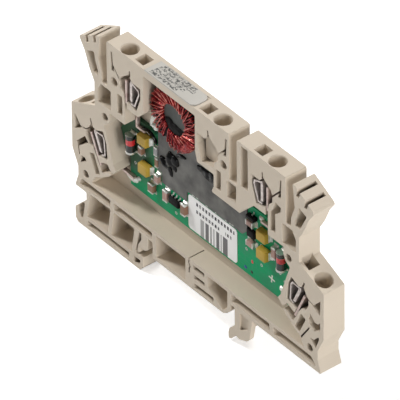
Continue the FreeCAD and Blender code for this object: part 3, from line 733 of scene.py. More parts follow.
class Bench:
    """The modelling moves that the pieces share."""

    @staticmethod
    def clear() -> None:
        """Leaves edit mode and deselects everything."""
        if bpy.context.mode != "OBJECT":
            bpy.ops.object.mode_set(mode="OBJECT")
        bpy.ops.object.select_all(action="DESELECT")

    @staticmethod
    def only(piece: Piece) -> None:
        """Makes a piece the only one selected, and the active one."""
        Bench.clear()
        piece.select_set(True)
        bpy.context.view_layer.objects.active = piece

    @staticmethod
    def settle(piece: Piece) -> Piece:
        """Puts a piece's place, turn and size into its mesh."""
        Bench.only(piece)
        bpy.ops.object.transform_apply(location=True, rotation=True, scale=True)
        return piece

    @staticmethod
    def added(name: str, scale: Sequence[float] = (1, 1, 1), turn: Sequence[float] = (0, 0, 0)) -> Piece:
        """Names, scales and turns the piece that an operator has just added.

        Args:
            name: The piece's name.
            scale: Its scale along each axis.
            turn: Its turn about each axis in radians.

        Returns:
            The piece, with all of it in its mesh.
        """
        piece = bpy.context.object
        piece.name = name
        piece.scale = scale
        piece.rotation_euler = turn
        return Bench.settle(piece)

    @staticmethod
    def block(name: str, low: Vector, high: Vector) -> Piece:
        """Adds a block between two opposite corners.

        Args:
            name: The block's name.
            low: One corner in metres.
            high: The opposite corner in metres.

        Returns:
            The block, with its place in its mesh.
        """
        Bench.clear()
        bpy.ops.mesh.primitive_cube_add(size=1.0, location=(low + high) / 2)
        return Bench.added(name, [abs(side) for side in high - low])

    @staticmethod
    def rod(name: str, start: Vector, end: Vector, radius: float, sides: int = 32) -> Piece:
        """Adds a round rod from one point to another.

        Args:
            name: The rod's name.
            start: Middle of its first end, in metres.
            end: Middle of its other end, in metres.
            radius: Its radius in metres.
            sides: Number of its sides.

        Returns:
            The rod, with its place in its mesh.
        """
        Bench.clear()
        run = end - start
        bpy.ops.mesh.primitive_cylinder_add(vertices=sides, radius=radius, depth=run.length,
                                            location=(start + end) / 2)
        return Bench.added(name, turn=run.to_track_quat("Z", "Y").to_euler())

    @staticmethod
    def pick(piece: Piece, wanted: Callable[[Face], bool]) -> None:
        """Opens a piece in edit mode with only the wanted faces selected.

        Args:
            piece: The piece.
            wanted: Says of a face whether it is selected.
        """
        Bench.only(piece)
        bpy.ops.object.mode_set(mode="EDIT")
        bpy.ops.mesh.select_mode(type="FACE")
        bpy.ops.mesh.select_all(action="DESELECT")
        mesh = bmesh.from_edit_mesh(piece.data)
        for face in mesh.faces:
            face.select_set(wanted(face))
        bmesh.update_edit_mesh(piece.data)

    @staticmethod
    def extrude(*shift: float) -> None:
        """Pulls the selected faces out of a piece in edit mode, by a shift in metres."""
        bpy.ops.mesh.extrude_region_move(TRANSFORM_OT_translate={"value": shift})

    @staticmethod
    def shrink(piece: Piece, wanted: Callable[[Face], bool], scale: Triple) -> None:
        """Scales the wanted faces about the piece's middle.

        Args:
            piece: The piece.
            wanted: Says of a face whether it is scaled.
            scale: Scale along each axis.
        """
        middle = sum((Vector(corner) for corner in piece.bound_box), Vector()) / 8
        Bench.pick(piece, wanted)
        bpy.ops.transform.resize(value=scale, center_override=middle)
        Bench.clear()

    @staticmethod
    def cut(piece: Piece, place: Vector, normal: Triple) -> None:
        """Cuts a piece's faces along a plane and keeps both sides.

        Args:
            piece: The piece.
            place: A point of the plane, in metres.
            normal: The plane's direction.
        """
        Bench.pick(piece, lambda face: True)
        bpy.ops.mesh.bisect(plane_co=place, plane_no=normal)
        Bench.clear()

    @staticmethod
    def cut_below(piece: Piece, depth: float) -> None:
        """Takes away all of a piece that lies deeper than a plane, and closes it there.

        Args:
            piece: The piece.
            depth: The plane's place on Y in millimetres.
        """
        Bench.pick(piece, lambda face: True)
        bpy.ops.mesh.bisect(plane_co=mm(0, depth, 0), plane_no=(0, 1, 0), use_fill=True, clear_outer=True)
        Bench.clear()

    @staticmethod
    def paint(piece: Piece, index: int, wanted: Callable[[Vector], bool]) -> None:
        """Gives the faces whose middle is wanted a material slot.

        Args:
            piece: The piece.
            index: The slot's number.
            wanted: Says of a face's middle whether it takes the slot.
        """
        for face in piece.data.polygons:
            if wanted(face.center):
                face.material_index = index

    @staticmethod
    def change(piece: Piece, kind: str, **settings: Any) -> Piece:
        """Adds a modifier and applies it.

        Args:
            piece: The piece.
            kind: The modifier's type.
            settings: Its properties, by name.

        Returns:
            The same piece.
        """
        Bench.only(piece)
        modifier = piece.modifiers.new(kind.lower(), kind)
        for name, value in settings.items():
            setattr(modifier, name, value)
        bpy.ops.object.modifier_apply(modifier=modifier.name)
        return piece

    @staticmethod
    def rough_up(piece: Piece, texture: bpy.types.Texture, depth: float) -> None:
        """Pushes a piece's surface in and out by a texture, over a depth in millimetres."""
        Bench.change(piece, "DISPLACE", texture=texture, strength=depth * MM, mid_level=0.5,
                     texture_coords="LOCAL")

    @staticmethod
    def soften(piece: Piece, width: float, segments: int = 2) -> Piece:
        """Rounds a piece's sharp edges.

        Args:
            piece: The piece.
            width: Width of the rounding in millimetres.
            segments: Faces across it.

        Returns:
            The same piece, shaded smooth up to 35 degrees.
        """
        Bench.change(piece, "BEVEL", width=width * MM, segments=segments, limit_method="ANGLE",
                     angle_limit=math.radians(30))
        return Bench.smooth(piece)

    @staticmethod
    def smooth(piece: Piece, degrees: float = 35.0) -> Piece:
        """Shades a piece smooth except over sharp edges."""
        Bench.only(piece)
        bpy.ops.object.shade_smooth_by_angle(angle=math.radians(degrees))
        return piece

    @staticmethod
    def join(name: str, pieces: Sequence[Piece]) -> Piece:
        """Joins pieces into one that keeps their materials.

        Args:
            name: The new piece's name.
            pieces: The pieces, the first of which takes in the rest.

        Returns:
            The joined piece.
        """
        Bench.clear()
        for piece in pieces:
            piece.select_set(True)
        bpy.context.view_layer.objects.active = pieces[0]
        if len(pieces) > 1:
            bpy.ops.object.join()
        joined = bpy.context.view_layer.objects.active
        joined.name = name
        joined.data.name = name
        return joined

    @staticmethod
    def twin(piece: Piece, name: str, shift: Vector) -> Piece:
        """Copies a piece with its own mesh, moved by a shift in metres."""
        copy = piece.copy()
        copy.data = piece.data.copy()
        copy.name = name
        bpy.context.scene.collection.objects.link(copy)
        copy.location = shift
        return Bench.settle(copy)


def seat(piece: Piece, slot: Slot, *nodes: str) -> Piece:
    """Lets a finished piece ride on the body and stand for the nodes it replaces.

    Args:
        piece: The piece.
        slot: The record's slot of the piece; not used.
        nodes: Nodes that it replaces.

    Returns:
        The same piece.
    """
    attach(piece, BODY)
    if nodes:
        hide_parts(*nodes)
    log.info("%s: %d faces", piece.name, len(piece.data.polygons))
    return piece


def facing(x: float, y: float, z: float) -> Callable[[Face], bool]:
    """A test for the faces that look in a direction."""
    way = Vector((x, y, z))
    return lambda face: face.normal.dot(way) > ALONG


FRONT_FACES = facing(0, -1, 0)
BACK_FACES = facing(0, 1, 0)


@dataclass
class Strand:
    """A wire that follows points, drawn as a smooth spline and turned into a mesh."""

    points: list[Vector]
    wire: float
    sides: int = 1
    steps: int = 3

    def make(self, name: str) -> Piece:
        """Makes the wire.

        Args:
            name: The piece's name.

        Returns:
            The wire as a mesh.
        """
        data = bpy.data.curves.new(name, "CURVE")
        data.dimensions = "3D"
        data.bevel_depth = self.wire / 2 * MM
        data.bevel_resolution = self.sides
        data.resolution_u = self.steps
        data.use_fill_caps = True
        spline = data.splines.new("NURBS")
        spline.points.add(len(self.points) - 1)
        for point, place in zip(spline.points, self.points):
            point.co = (*place, 1.0)
        spline.order_u = 3
        spline.use_endpoint_u = True
        Bench.only(show(name, data))
        bpy.ops.object.convert(target="MESH")
        return Bench.smooth(bpy.context.object, 60.0)


@dataclass(frozen=True)
class Layer:
    """One layer of turns around the ring.

    Attributes:
        name: Name of its piece.
        start: Angle at which it starts, in degrees.
        span: Angle that it covers.
        turns: Number of turns.
        lift: How far it stands off the core, in millimetres.
        wire: The wire's diameter.
        wander: How far the turns stray, in degrees.
        lean: How far a turn's outer end is ahead of its inner end, in degrees.
    """

    name: str
    start: float
    span: float
    turns: int
    lift: float
    wire: float
    wander: float
    lean: float


@dataclass
class Transformer:
    """The ring core's winding, its wire ends, its plug and the adhesive that holds them."""

    base: Layer = Layer("base_layer", -116.0, 354.0, turns=58, lift=0.24, wire=0.38, wander=1.3, lean=7.0)
    top: Layer = Layer("top_layer", -96.0, 320.0, turns=24, lift=0.44, wire=0.32, wander=4.0, lean=17.0)
    stray: Layer = Layer("stray_layer", -92.0, 96.0, turns=7, lift=0.56, wire=0.24, wander=4.0, lean=21.0)
    stray_starts: tuple[float, ...] = (-92.0, 20.0, 118.0)
    core: tuple[Vector, Vector] = field(default_factory=lambda: corners(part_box("toroid_core"), MM))
    hole: float = 4.35
    cup: float = 0.3
    behind: float = 0.24
    bundle: int = 9
    bundle_points: int = 10
    bundle_start: float = -80.0
    bundle_step: float = 5.6
    bundle_radius: float = 6.5
    bundle_pitch: float = 0.19
    bundle_wire: float = 0.36
    chance: random.Random = field(default_factory=lambda: random.Random(41))

    def __post_init__(self) -> None:
        """Names the core's corners and its middle, in millimetres."""
        self.low, self.high = self.core
        self.middle = (self.low + self.high) / 2

    def ring(self, angle: float, radius: float, y: float) -> Vector:
        """A point around the ring's middle.

        Args:
            angle: Turn about the ring's axis in degrees, from +X towards +Z.
            radius: Distance from the axis in millimetres.
            y: Place along the axis in millimetres.

        Returns:
            The point in metres.
        """
        a = math.radians(angle)
        return mm(self.middle.x + radius * math.cos(a), y, self.middle.z + radius * math.sin(a))

    def layer(self, kind: Layer) -> Piece:
        """Winds one layer over a stretch of the ring."""
        lift, wander = kind.lift, kind.wander
        outer = (self.high.x - self.low.x) / 2 + lift
        inner = self.hole - 0.5 * lift
        near, far = self.low.y - lift, self.high.y + min(lift, self.behind)
        section = [(inner, far), (inner, near), (inner + 0.3, near), (outer - 0.3, near), (outer, near),
                   (outer, far), ((inner + outer) / 2, far)]
        leans = (0.0, 0.0, 0.1, 0.9, 1.0, 1.0, 0.5)
        points = []
        for turn in range(kind.turns):
            stray = self.chance.uniform(-wander, wander)
            cross = self.chance.uniform(-wander, wander)
            for step, ((radius, y), tilt) in enumerate(zip(section, leans)):
                share = (turn + step / len(section)) / kind.turns
                angle = kind.start + kind.span * share + stray + (cross + kind.lean) * tilt
                rise = self.chance.uniform(0.0, 0.12) if y == near else 0.0
                points.append(self.ring(angle, radius + self.chance.uniform(-0.04, 0.04), y - rise))
        return Strand(points, kind.wire).make(kind.name)

    def winding(self) -> None:
        """The whole winding: a full layer, a looser one over it, a thick bundle below and stray turns."""
        parts = [self.layer(self.base), self.layer(self.top)]
        last = self.bundle_points - 1
        for k in range(self.bundle):
            y = self.low.y - 0.62 - 0.28 * math.sin(math.pi * k / (self.bundle - 1))
            run = []
            for n in range(self.bundle_points):
                radius = self.bundle_radius + self.bundle_pitch * k
                radius += self.chance.uniform(-0.08, 0.08) - 0.06 * abs(n - 4)
                dip = (0.5 if n in (0, last) else 0.0) + self.chance.uniform(-0.05, 0.05)
                angle = self.bundle_start + self.bundle_step * n + 0.7 * k
                run.append(self.ring(angle, radius, y + dip))
            parts.append(Strand(run, self.bundle_wire, steps=4).make("bundle_%d" % k))
        for part in parts:
            dress(part, ENAMEL)
        for start in self.stray_starts:
            stray = self.layer(replace(self.stray, start=start))
            dress(stray, COPPER_ENAMEL)
            parts.append(stray)
        piece = Bench.join("transformer_winding", parts)
        seat(piece, Slot.WINDING, "toroid_winding")

    def leads(self) -> None:
        """The wire ends that run from the ring to the board's edge and under the adhesive."""
        low = self.low
        x, z = self.middle.x, low.z
        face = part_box("insulating_sheet")[0][1] / MM
        red = []
        for k in range(5):
            start = self.ring(-110 + 5.0 * k, 8.0, low.y + 0.5)
            end = mm(x - 3.3 + 0.62 * k, face + 0.05, z - 3.3 + 0.5 * (k % 2))
            middle = (start + end) / 2 + mm(-0.1 + 0.1 * k, -0.4 + 0.1 * k, 0.0)
            red.append(Strand([start, middle, end], 0.26, steps=8).make("lead_%d" % k))
        piece = Bench.join("winding_leads", red)
        dress(piece, COPPER_ENAMEL)
        seat(piece, Slot.WINDING)
        bright = []
        for k in range(3):
            start = self.ring(-152 - 5 * k, 7.6, low.y + 0.3)
            end = mm(x - 10.2, face - 0.25, z - 0.7 + 0.4 * k)
            middle = (start + end) / 2 + mm(-0.3, -0.2, 0.2)
            bright.append(Strand([start, middle, end], 0.5, steps=8).make("tinned_%d" % k))
        # Three short bare tinned ends at the lower rim of the hole, placed where bright glints show; they
        # also paint those glints.
        for angle, turn in ((-97, 8), (-62, -9), (-78, 5)):
            start, end = self.ring(angle, 4.5, low.y), self.ring(angle + turn, 3.75, low.y + 0.4)
            middle = (start + end) / 2 + mm(0.05, -0.1, 0.0)
            bright.append(Strand([start, middle, end], 0.3, steps=4).make("bare_end_and_glint"))
        piece = Bench.join("tinned_leads", bright)
        dress(piece, FRESH_SOLDER)
        seat(piece, Slot.SOLDER)

    @staticmethod
    def lobes(name: str, spots: Sequence[tuple[float, ...]], face: float) -> Piece:
        """Melts flattened balls together into a glossy heap on a surface.

        Args:
            name: The piece's name.
            spots: Place in X and Z, half width, half height and thickness in millimetres, and turn in
                degrees.
            face: The surface's place on Y in millimetres.

        Returns:
            The heap.
        """
        parts = []
        for x, z, wide, tall, thick, turn in spots:
            Bench.clear()
            bpy.ops.mesh.primitive_ico_sphere_add(subdivisions=4, radius=1.0, location=mm(x, face - 0.05, z))
            scale = (wide * MM, thick * MM, tall * MM)
            parts.append(Bench.added("lobe", scale, (0, math.radians(turn), 0)))
        piece = Bench.join(name, parts)
        Bench.change(piece, "REMESH", mode="VOXEL", voxel_size=0.12 * MM)
        pull = bpy.data.textures.new(name + "_pull", "VORONOI")
        pull.noise_scale = 0.0014
        Bench.rough_up(piece, pull, 0.3)
        Bench.change(piece, "SMOOTH", factor=0.5, iterations=3)
        Bench.cut_below(piece, face)
        return Bench.smooth(piece, 60)

    def hole_filling(self) -> None:
        """The black filling in the lower half of the ring's hole."""
        x, z = self.middle.x, self.middle.z
        spots = [(x - 0.1, z - 3.0, 3.0, 1.45, 0.55, 10.0), (x - 2.1, z - 1.9, 1.5, 1.0, 0.5, 12.0),
                 (x + 1.9, z - 2.9, 1.6, 1.1, 0.5, 5.0)]
        piece = self.lobes("hole_filling", spots, self.low.y + self.cup)
        dress(piece, FOAM)
        seat(piece, Slot.ADHESIVE)

    def plug(self) -> None:
        """The dark insulating plug that stands on the sheet and fills the ring's hole almost to the front."""
        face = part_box("insulating_sheet")[0][1] / MM
        x, z = self.middle.x, self.middle.z
        piece = Bench.rod("hole_plug", mm(x, face, z), mm(x, self.low.y + self.cup, z),
                          (self.hole - 0.25) * MM, 64)
        Bench.pick(piece, FRONT_FACES)
        bpy.ops.mesh.inset(thickness=0.35 * MM)
        bpy.ops.transform.translate(value=(0, 0.12 * MM, 0))
        Bench.clear()
        Bench.soften(piece, 0.08, 3)
        dress(piece, SLEEVE)
        seat(piece, Slot.SHEET)

    def adhesive(self) -> None:
        """Black adhesive in uneven lobes that are pulled out to points, with flat black lobes that paint the
        shadow below the empty cell.
        """
        low, high = corners(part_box("adhesive_blob"), MM)
        x, z, face = (low.x + high.x) / 2, (low.z + high.z) / 2, high.y
        spots = [(0.6, 1.3, 1.2, 2.0, 1.25, -16), (-1.7, -1.0, 1.9, 1.1, 1.0, 20),
                 (2.2, 1.7, 1.2, 1.5, 0.9, -35), (0.3, -2.1, 0.6, 1.9, 0.55, -20),
                 (-0.2, 0.0, 1.1, 1.3, 0.8, 12), (1.9, -0.2, 0.6, 1.5, 0.6, -18)]
        piece = self.lobes("adhesive", [(x + u, z + w - 0.7, *rest) for u, w, *rest in spots], face)
        dress(piece, GLUE)
        seat(piece, Slot.ADHESIVE, "adhesive_blob")
        # The first two flat lobes are a smear of adhesive; the last three lie on the sheet below the empty
        # cell as painted shadow.
        flat = [(x + 4.3, z + 3.5, 1.9, 0.55, 0.35, -14), (x + 3.2, z + 3.1, 0.9, 0.45, 0.3, -40),
                (1.2, 32.6, 1.7, 0.9, 0.4, -8), (3.2, 32.1, 2.0, 1.3, 0.45, 12),
                (4.9, 32.3, 1.3, 1.4, 0.4, 0)]
        piece = self.lobes("adhesive_smear_and_shadow", flat, face)
        dress(piece, GLUE)
        seat(piece, Slot.ADHESIVE)
        # A lead in black glue along the sheet's left edge, laid where the board lies in shade, so it also
        # paints that shade.
        path = [(-15.2, 0.6, 29.9), (-15.8, 0.3, 31.9), (-17.9, 0.3, 32.5), (-20.0, 0.45, 31.4),
                (-21.6, 0.7, 30.1)]
        piece = Strand([mm(*place) for place in path], 0.8, steps=8).make("covered_lead_and_shade")
        dress(piece, GLUE)
        seat(piece, Slot.ADHESIVE)

    def build(self) -> None:
        """Makes every piece of the transformer."""
        self.winding()
        self.leads()
        self.plug()
        self.hole_filling()
        self.adhesive()


@dataclass
class Tantalum:
    """A moulded capacitor with a folded terminal at each end."""

    terminal: float = 0.12
    terminal_width: float = 2.2
    fillet_reach: float = 0.45
    fillet_height: float = 0.55
    draft: float = 0.93

    def make(self, name: str, low: Vector, high: Vector) -> Piece:
        """Makes one capacitor in a box.

        Args:
            name: The piece's name.
            low: The box's lowest corner in metres.
            high: The box's highest corner in metres.

        Returns:
            The capacitor, dressed.
        """
        middle = (low + high) / 2
        t = self.terminal * MM
        body = Bench.block("moulding", low + Vector((t, 0, 0)), high - Vector((t, 0.15 * MM, 0)))
        Bench.cut(body, middle + mm(0, 0.15, 0), (0, 1, 0))
        Bench.shrink(body, FRONT_FACES, (self.draft, 1, self.draft))
        Bench.shrink(body, BACK_FACES, (0.97, 1, 0.95))
        dress(Bench.soften(body, 0.12, 3), TANTALUM)
        parts = [body]
        half = self.terminal_width / 2 * MM
        for side, end in ((-1, low.x), (1, high.x)):
            plate = Bench.block("terminal", Vector((end, middle.y + 0.1 * MM, middle.z - half)),
                                Vector((end - side * t * 1.6, high.y, middle.z + half)))
            dress(Bench.soften(plate, 0.04, 2), FRESH_SOLDER)
            fillet = Bench.block("fillet", Vector((end, high.y - self.fillet_height * MM, middle.z - half)),
                                 Vector((end + side * self.fillet_reach * MM, high.y, middle.z + half)))
            Bench.shrink(fillet, FRONT_FACES, (0.25, 1, 0.85))
            Bench.pick(fillet, FRONT_FACES)
            bpy.ops.transform.translate(value=(-side * 0.16 * MM, 0, 0))
            Bench.clear()
            dress(Bench.soften(fillet, 0.12, 3), FRESH_SOLDER)
            parts += [plate, fillet]
        return Bench.join(name, parts)

    def build(self) -> None:
        """Makes the first capacitor and copies it to the places of the others."""
        first = "tantalum_capacitor_1"
        low, high = corners(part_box(first))
        model = self.make("tantalum_1", low, high)
        seat(model, Slot.TANTALUM, first)
        for k in (2, 3, 4):
            node = "tantalum_capacitor_%d" % k
            copy = Bench.twin(model, "tantalum_%d" % k, Vector(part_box(node)[0]) - low)
            seat(copy, Slot.TANTALUM, node)


@dataclass
class Chips:
    """The ceramic chips: a body between two tinned ends, on pads with small fillets."""

    end_share: float = 0.17
    proud: float = 0.03
    foot: float = 0.22
    brown: tuple[int, ...] = (1, 2, 5)

    def make(self, name: str, low: Vector, high: Vector, body_finish: Finish) -> Piece:
        """Makes one chip along the longer side of its box.

        Args:
            name: The piece's name.
            low: The box's lowest corner in metres.
            high: The box's highest corner in metres.
            body_finish: Finish of its body.

        Returns:
            The chip, dressed.
        """
        size = high - low
        axis = 0 if size.x > size.z else 2
        slack = Vector([self.proud * MM if k != axis else 0.02 * MM for k in range(3)])
        body = Bench.block("body", low + slack, high - slack + Vector((0, self.proud * MM, 0)))
        dress(Bench.soften(body, 0.07, 2), body_finish)
        parts = [body]
        for side, end in ((-1, low[axis]), (1, high[axis])):
            near, far = low.copy(), high.copy()
            near[axis], far[axis] = end, end - side * size[axis] * self.end_share
            cap = Bench.block("end", near, far)
            dress(Bench.soften(cap, 0.12, 3), SOLDER)
            near[axis], far[axis] = end - side * 0.1 * MM, end + side * self.foot * MM
            near.y = high.y - size.y * 0.4
            foot = Bench.block("fillet", near, far)
            Bench.pick(foot, FRONT_FACES)
            lean = Vector((0, 0, 0))
            lean[axis] = -side * 0.14 * MM
            scale = [0.8, 1.0, 0.8]
            scale[axis] = 0.3
            bpy.ops.transform.resize(value=scale, center_override=(near + far) / 2)
            bpy.ops.transform.translate(value=lean)
            Bench.clear()
            dress(Bench.soften(foot, 0.1, 3), SOLDER)
            parts += [cap, foot]
        return Bench.join(name, parts)

    def build(self) -> None:
        """Makes the eight chips of the record and the two flat ones beside the sheet."""
        for k in range(1, 9):
            node = "ceramic_capacitor_%d" % k
            tint = CERAMIC if k in self.brown else PALE_CERAMIC
            low, high = corners(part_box(node))
            seat(self.make("chip_%d" % k, low, high, tint), Slot.CERAMIC, node)
        face = Vector(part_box("circuit_board")[0]) / MM
        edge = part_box("insulating_sheet")[0][0] / MM
        flat = [("filter_chip_1", edge - 1.35, 26.3, edge - 0.1, 28.9, GREY_CERAMIC, 0.7),
                ("filter_chip_2", edge - 1.25, 22.9, edge - 0.1, 25.7, CERAMIC, 0.5)]
        for name, x0, z0, x1, z1, tint, thick in flat:
            seat(self.make(name, mm(x0, face.y - thick, z0), mm(x1, face.y, z1), tint), Slot.CERAMIC)


@dataclass
class Diode:
    """A glass diode with bands around it and a tinned cap at each end."""

    cap: float = 0.55
    proud: float = 0.1
    bands: tuple[float, float] = (0.48, 0.77)

    def make(self, name: str, low: Vector, high: Vector) -> Piece:
        """Makes a diode that stands in its box.

        Args:
            name: The piece's name.
            low: The box's lowest corner in metres.
            high: The box's highest corner in metres.

        Returns:
            The diode, dressed.
        """
        radius = (high.y - low.y) / 2
        middle = (low + high) / 2
        start, end = Vector((middle.x, middle.y, low.z)), Vector((middle.x, middle.y, high.z))
        rod = Bench.rod(name, start, end, radius - self.proud * MM, 40)
        length = high.z - low.z
        cap = self.cap * MM
        cuts = [low.z + cap, low.z + length * self.bands[0], low.z + length * self.bands[1], high.z - cap]
        for z in cuts:
            Bench.cut(rod, Vector((0, 0, z)), (0, 0, 1))

        def in_cap(face: Face) -> bool:
            """Whether a side face belongs to a cap."""
            z = face.calc_center_median().z
            return abs(face.normal.z) < 0.5 and not cuts[0] <= z <= cuts[3]

        Bench.pick(rod, in_cap)
        bpy.ops.mesh.extrude_region_shrink_fatten(TRANSFORM_OT_shrink_fatten={"value": self.proud * MM})
        Bench.pick(rod, lambda face: abs(face.normal.z) > ALONG and face.calc_area() > (radius * 0.7) ** 2)
        bpy.ops.mesh.inset(thickness=radius * 0.45)
        Bench.clear()
        dress(rod, SOLDER, DIODE_BLACK, DIODE, DIODE_BLACK)
        tops = (cuts[1], cuts[2], high.z)
        for index, (bottom, top) in enumerate(zip(cuts, tops), 1):
            Bench.paint(rod, index, lambda spot, bottom=bottom, top=top: bottom < spot.z < top)
        Bench.soften(rod, 0.07, 2)
        heel = 0.35 * MM
        parts = [rod]
        for z in (low.z, high.z):
            pool = Bench.block("fillet", Vector((middle.x - radius * 0.9, high.y - 0.7 * MM, z - heel)),
                               Vector((middle.x + radius * 0.9, high.y, z + heel)))
            Bench.shrink(pool, FRONT_FACES, (0.6, 1, 0.3))
            dress(Bench.soften(pool, 0.15, 3), SOLDER)
            parts.append(pool)
        return Bench.join(name, parts)

    def build(self) -> None:
        """Makes one diode and copies it to the other's place."""
        low, high = corners(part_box("diode_left"))
        first = seat(self.make("glass_diode_left", low, high), Slot.DIODE, "diode_left")
        shift = Vector(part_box("diode_right")[0]) - low
        right = Bench.twin(first, "glass_diode_right", shift)
        right.data.materials[3] = FINISH.of(DIODE_PALE)
        seat(right, Slot.DIODE, "diode_right")


@dataclass
class Package:
    """A black moulded semiconductor with bent leads on two sides."""

    node: str
    title: str
    upper: int
    lower: int
    lead: float = 0.42
    reach: float = 0.55
    sheet: float = 0.12
    crop: float = 0.0

    def lead_at(self, x: float, z: float, side: int, low: Vector, high: Vector) -> Piece:
        """One lead: out of the body, down to the board and out again as a foot.

        Args:
            x: Middle of the lead, in metres.
            z: Where it leaves the body, in metres.
            side: 1 upwards, -1 downwards.
            low: The body's lowest corner.
            high: The body's highest corner.

        Returns:
            The lead.
        """
        half = self.lead / 2 * MM
        level = (low.y + high.y) / 2
        thick = self.sheet * MM
        root, tip = z - side * 0.1 * MM, z + side * self.reach * 0.35 * MM
        strip = Bench.block("lead", Vector((x - half, level, root)), Vector((x + half, level + thick, tip)))
        Bench.pick(strip, facing(0, 0, side))
        Bench.extrude(0, 0, side * thick)
        Bench.pick(strip, lambda face: face.normal.y > ALONG
                   and abs(face.calc_center_median().z - tip) < thick)
        Bench.extrude(0, high.y - level - thick, 0)
        foot = Bench.block("foot", Vector((x - half, high.y - thick, tip)),
                           Vector((x + half, high.y, tip + side * self.reach * MM)))
        return Bench.soften(Bench.join("lead", [strip, foot]), 0.03, 2)

    def build(self) -> None:
        """Makes the package and its leads in place of its node."""
        low, high = corners(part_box(self.node))
        high -= mm(0, 0, self.crop)
        body = Bench.block("moulding", low, high - mm(0, 0.1, 0))
        Bench.cut(body, (low + high) / 2, (0, 1, 0))
        Bench.shrink(body, FRONT_FACES, (0.9, 1, 0.88))
        Bench.shrink(body, BACK_FACES, (0.94, 1, 0.92))
        dress(Bench.soften(body, 0.06, 2), EPOXY)
        parts = [body]
        for count, side, z in ((self.upper, 1, high.z), (self.lower, -1, low.z)):
            for k in range(count):
                x = low.x + (high.x - low.x) * (k + 0.5) / count
                piece = self.lead_at(x, z, side, low, high)
                dress(piece, SOLDER)
                parts.append(piece)
        seat(Bench.join(self.title, parts), Slot.EPOXY, self.node)


@dataclass
class BoardPrint:
    """Dots and marks on the board, the pads below the chips, covered joints and rims of holes."""

    thickness: float = 0.025
    pad: float = 0.55
    joints: tuple[Triple, ...] = (
        (-1.9, 22.9, 0.7), (-0.5, 23.0, 0.6), (2.9, 22.9, 0.6), (9.8, 22.9, 0.5), (11.3, 23.0, 0.5),
        (12.3, 23.1, 0.6), (6.2, 22.9, 0.4))
    holes: tuple[tuple[float, float], ...] = (
        (22.3, 17.6), (28.9, 19.4), (12.9, 48.6), (30.6, 17.9), (-23.4, 19.2), (-12.1, 23.9),
        (20.9, 20.2), (16.9, 19.0), (-8.6, 13.6), (26.9, 29.6))
    face: float = field(default_factory=lambda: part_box("circuit_board")[0][1] / MM)

    def dot(self, name: str, x: float, z: float, wide: float, tall: float, finish: Finish) -> None:
        """A round touch of paint on the board.

        Args:
            name: The piece's name.
            x: Its middle along the board, in millimetres.
            z: Its middle in height.
            wide: Its width.
            tall: Its height.
            finish: Its finish.
        """
        piece = Bench.rod(name, mm(0, self.face + 0.02, 0), mm(0, self.face - self.thickness * 3, 0),
                          0.5 * MM, 28)
        Bench.shrink(piece, FRONT_FACES, (0.7, 1, 0.7))
        piece.scale = (wide, 1, tall)
        piece.location = mm(x, 0, z)
        Bench.settle(piece)
        Bench.soften(piece, 0.03, 2)
        dress(piece, finish)
        seat(piece, Slot.BOARD)

    def cross(self, x: float, z: float, reach: float, line: float) -> None:
        """The white printed cross at the board's lower right.

        Args:
            x: Its middle along the board, in millimetres.
            z: Its middle in height.
            reach: Length of each arm from the middle.
            line: Width of a line.
        """
        piece = Bench.block("printed_cross", mm(-line / 2, self.face - self.thickness, -line / 2),
                            mm(line / 2, self.face + 0.01, line / 2))
        for way in ((1, 0, 0), (-1, 0, 0), (0, 0, 1), (0, 0, -1)):
            aim = Vector(way)
            Bench.pick(piece, lambda face, aim=aim: face.normal.dot(aim) > ALONG
                       and (face.calc_center_median() - aim * line / 2 * MM).xz.length < line / 4 * MM)
            Bench.extrude(*(c * (reach - line / 2) * MM for c in way))
        Bench.clear()
        piece.rotation_euler = (0, math.radians(8), 0)
        piece.location = mm(x, 0, z)
        Bench.settle(piece)
        Bench.soften(piece, 0.008, 1)
        dress(piece, PRINT)
        seat(piece, Slot.BOARD)

    @staticmethod
    def tinned(name: str, parts: Sequence[Piece]) -> None:
        """Joins small tinned parts into one piece and seats it."""
        piece = Bench.join(name, parts)
        dress(piece, SOLDER)
        seat(piece, Slot.SOLDER)

    def pads(self) -> None:
        """Tinned pads that show around the ends of the chips."""
        parts = []
        for k in range(1, 9):
            low, high = corners(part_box("ceramic_capacitor_%d" % k), MM)
            wide = high.x - low.x > high.z - low.z
            for end in (low, high):
                if wide:
                    spot = (end.x - self.pad, low.z - 0.1, end.x + self.pad, high.z + 0.1)
                else:
                    spot = (low.x - 0.1, end.z - self.pad, high.x + 0.1, end.z + self.pad)
                pad = Bench.block("pad", mm(spot[0], self.face - self.thickness, spot[1]),
                                  mm(spot[2], self.face + 0.01, spot[3]))
                parts.append(Bench.soften(pad, 0.02, 1))
        self.tinned("tinned_pads", parts)

    def covered_joints(self) -> None:
        """Low solder joints in a row above the sticker, most of them behind the adhesive."""
        bumps = []
        for x, z, wide in self.joints:
            bump = Bench.block("bump", mm(x - wide, self.face - 0.32, z - 0.35),
                               mm(x + wide, self.face, z + 0.35))
            Bench.shrink(bump, FRONT_FACES, (0.75, 1, 0.5))
            bumps.append(Bench.soften(bump, 0.12, 3))
        self.tinned("covered_joints", bumps)

    def through_holes(self) -> None:
        """The tinned rims of a few holes through the board."""
        rings = []
        for x, z in self.holes:
            Bench.clear()
            bpy.ops.mesh.primitive_torus_add(major_radius=0.3 * MM, minor_radius=0.1 * MM, major_segments=24,
                                             minor_segments=8, location=mm(x, self.face, z),
                                             rotation=(math.radians(90), 0, 0))
            ring = bpy.context.object
            ring.scale = (1, 1, 0.4)
            rings.append(Bench.smooth(Bench.settle(ring), 60))
        self.tinned("through_holes", rings)

    def build(self) -> None:
        """Makes all marks and pads."""
        self.dot("red_dot", 18.95, 16.5, 0.85, 1.15, RED_PAINT)
        self.dot("blue_dot", 16.5, 13.5, 1.1, 1.0, BLUE_PAINT)
        self.dot("black_dot", 18.75, 13.4, 0.95, 0.9, BLACK_PAINT)
        self.cross(25.95, 15.95, 1.1, 0.42)
        self.pads()
        self.covered_joints()
        self.through_holes()


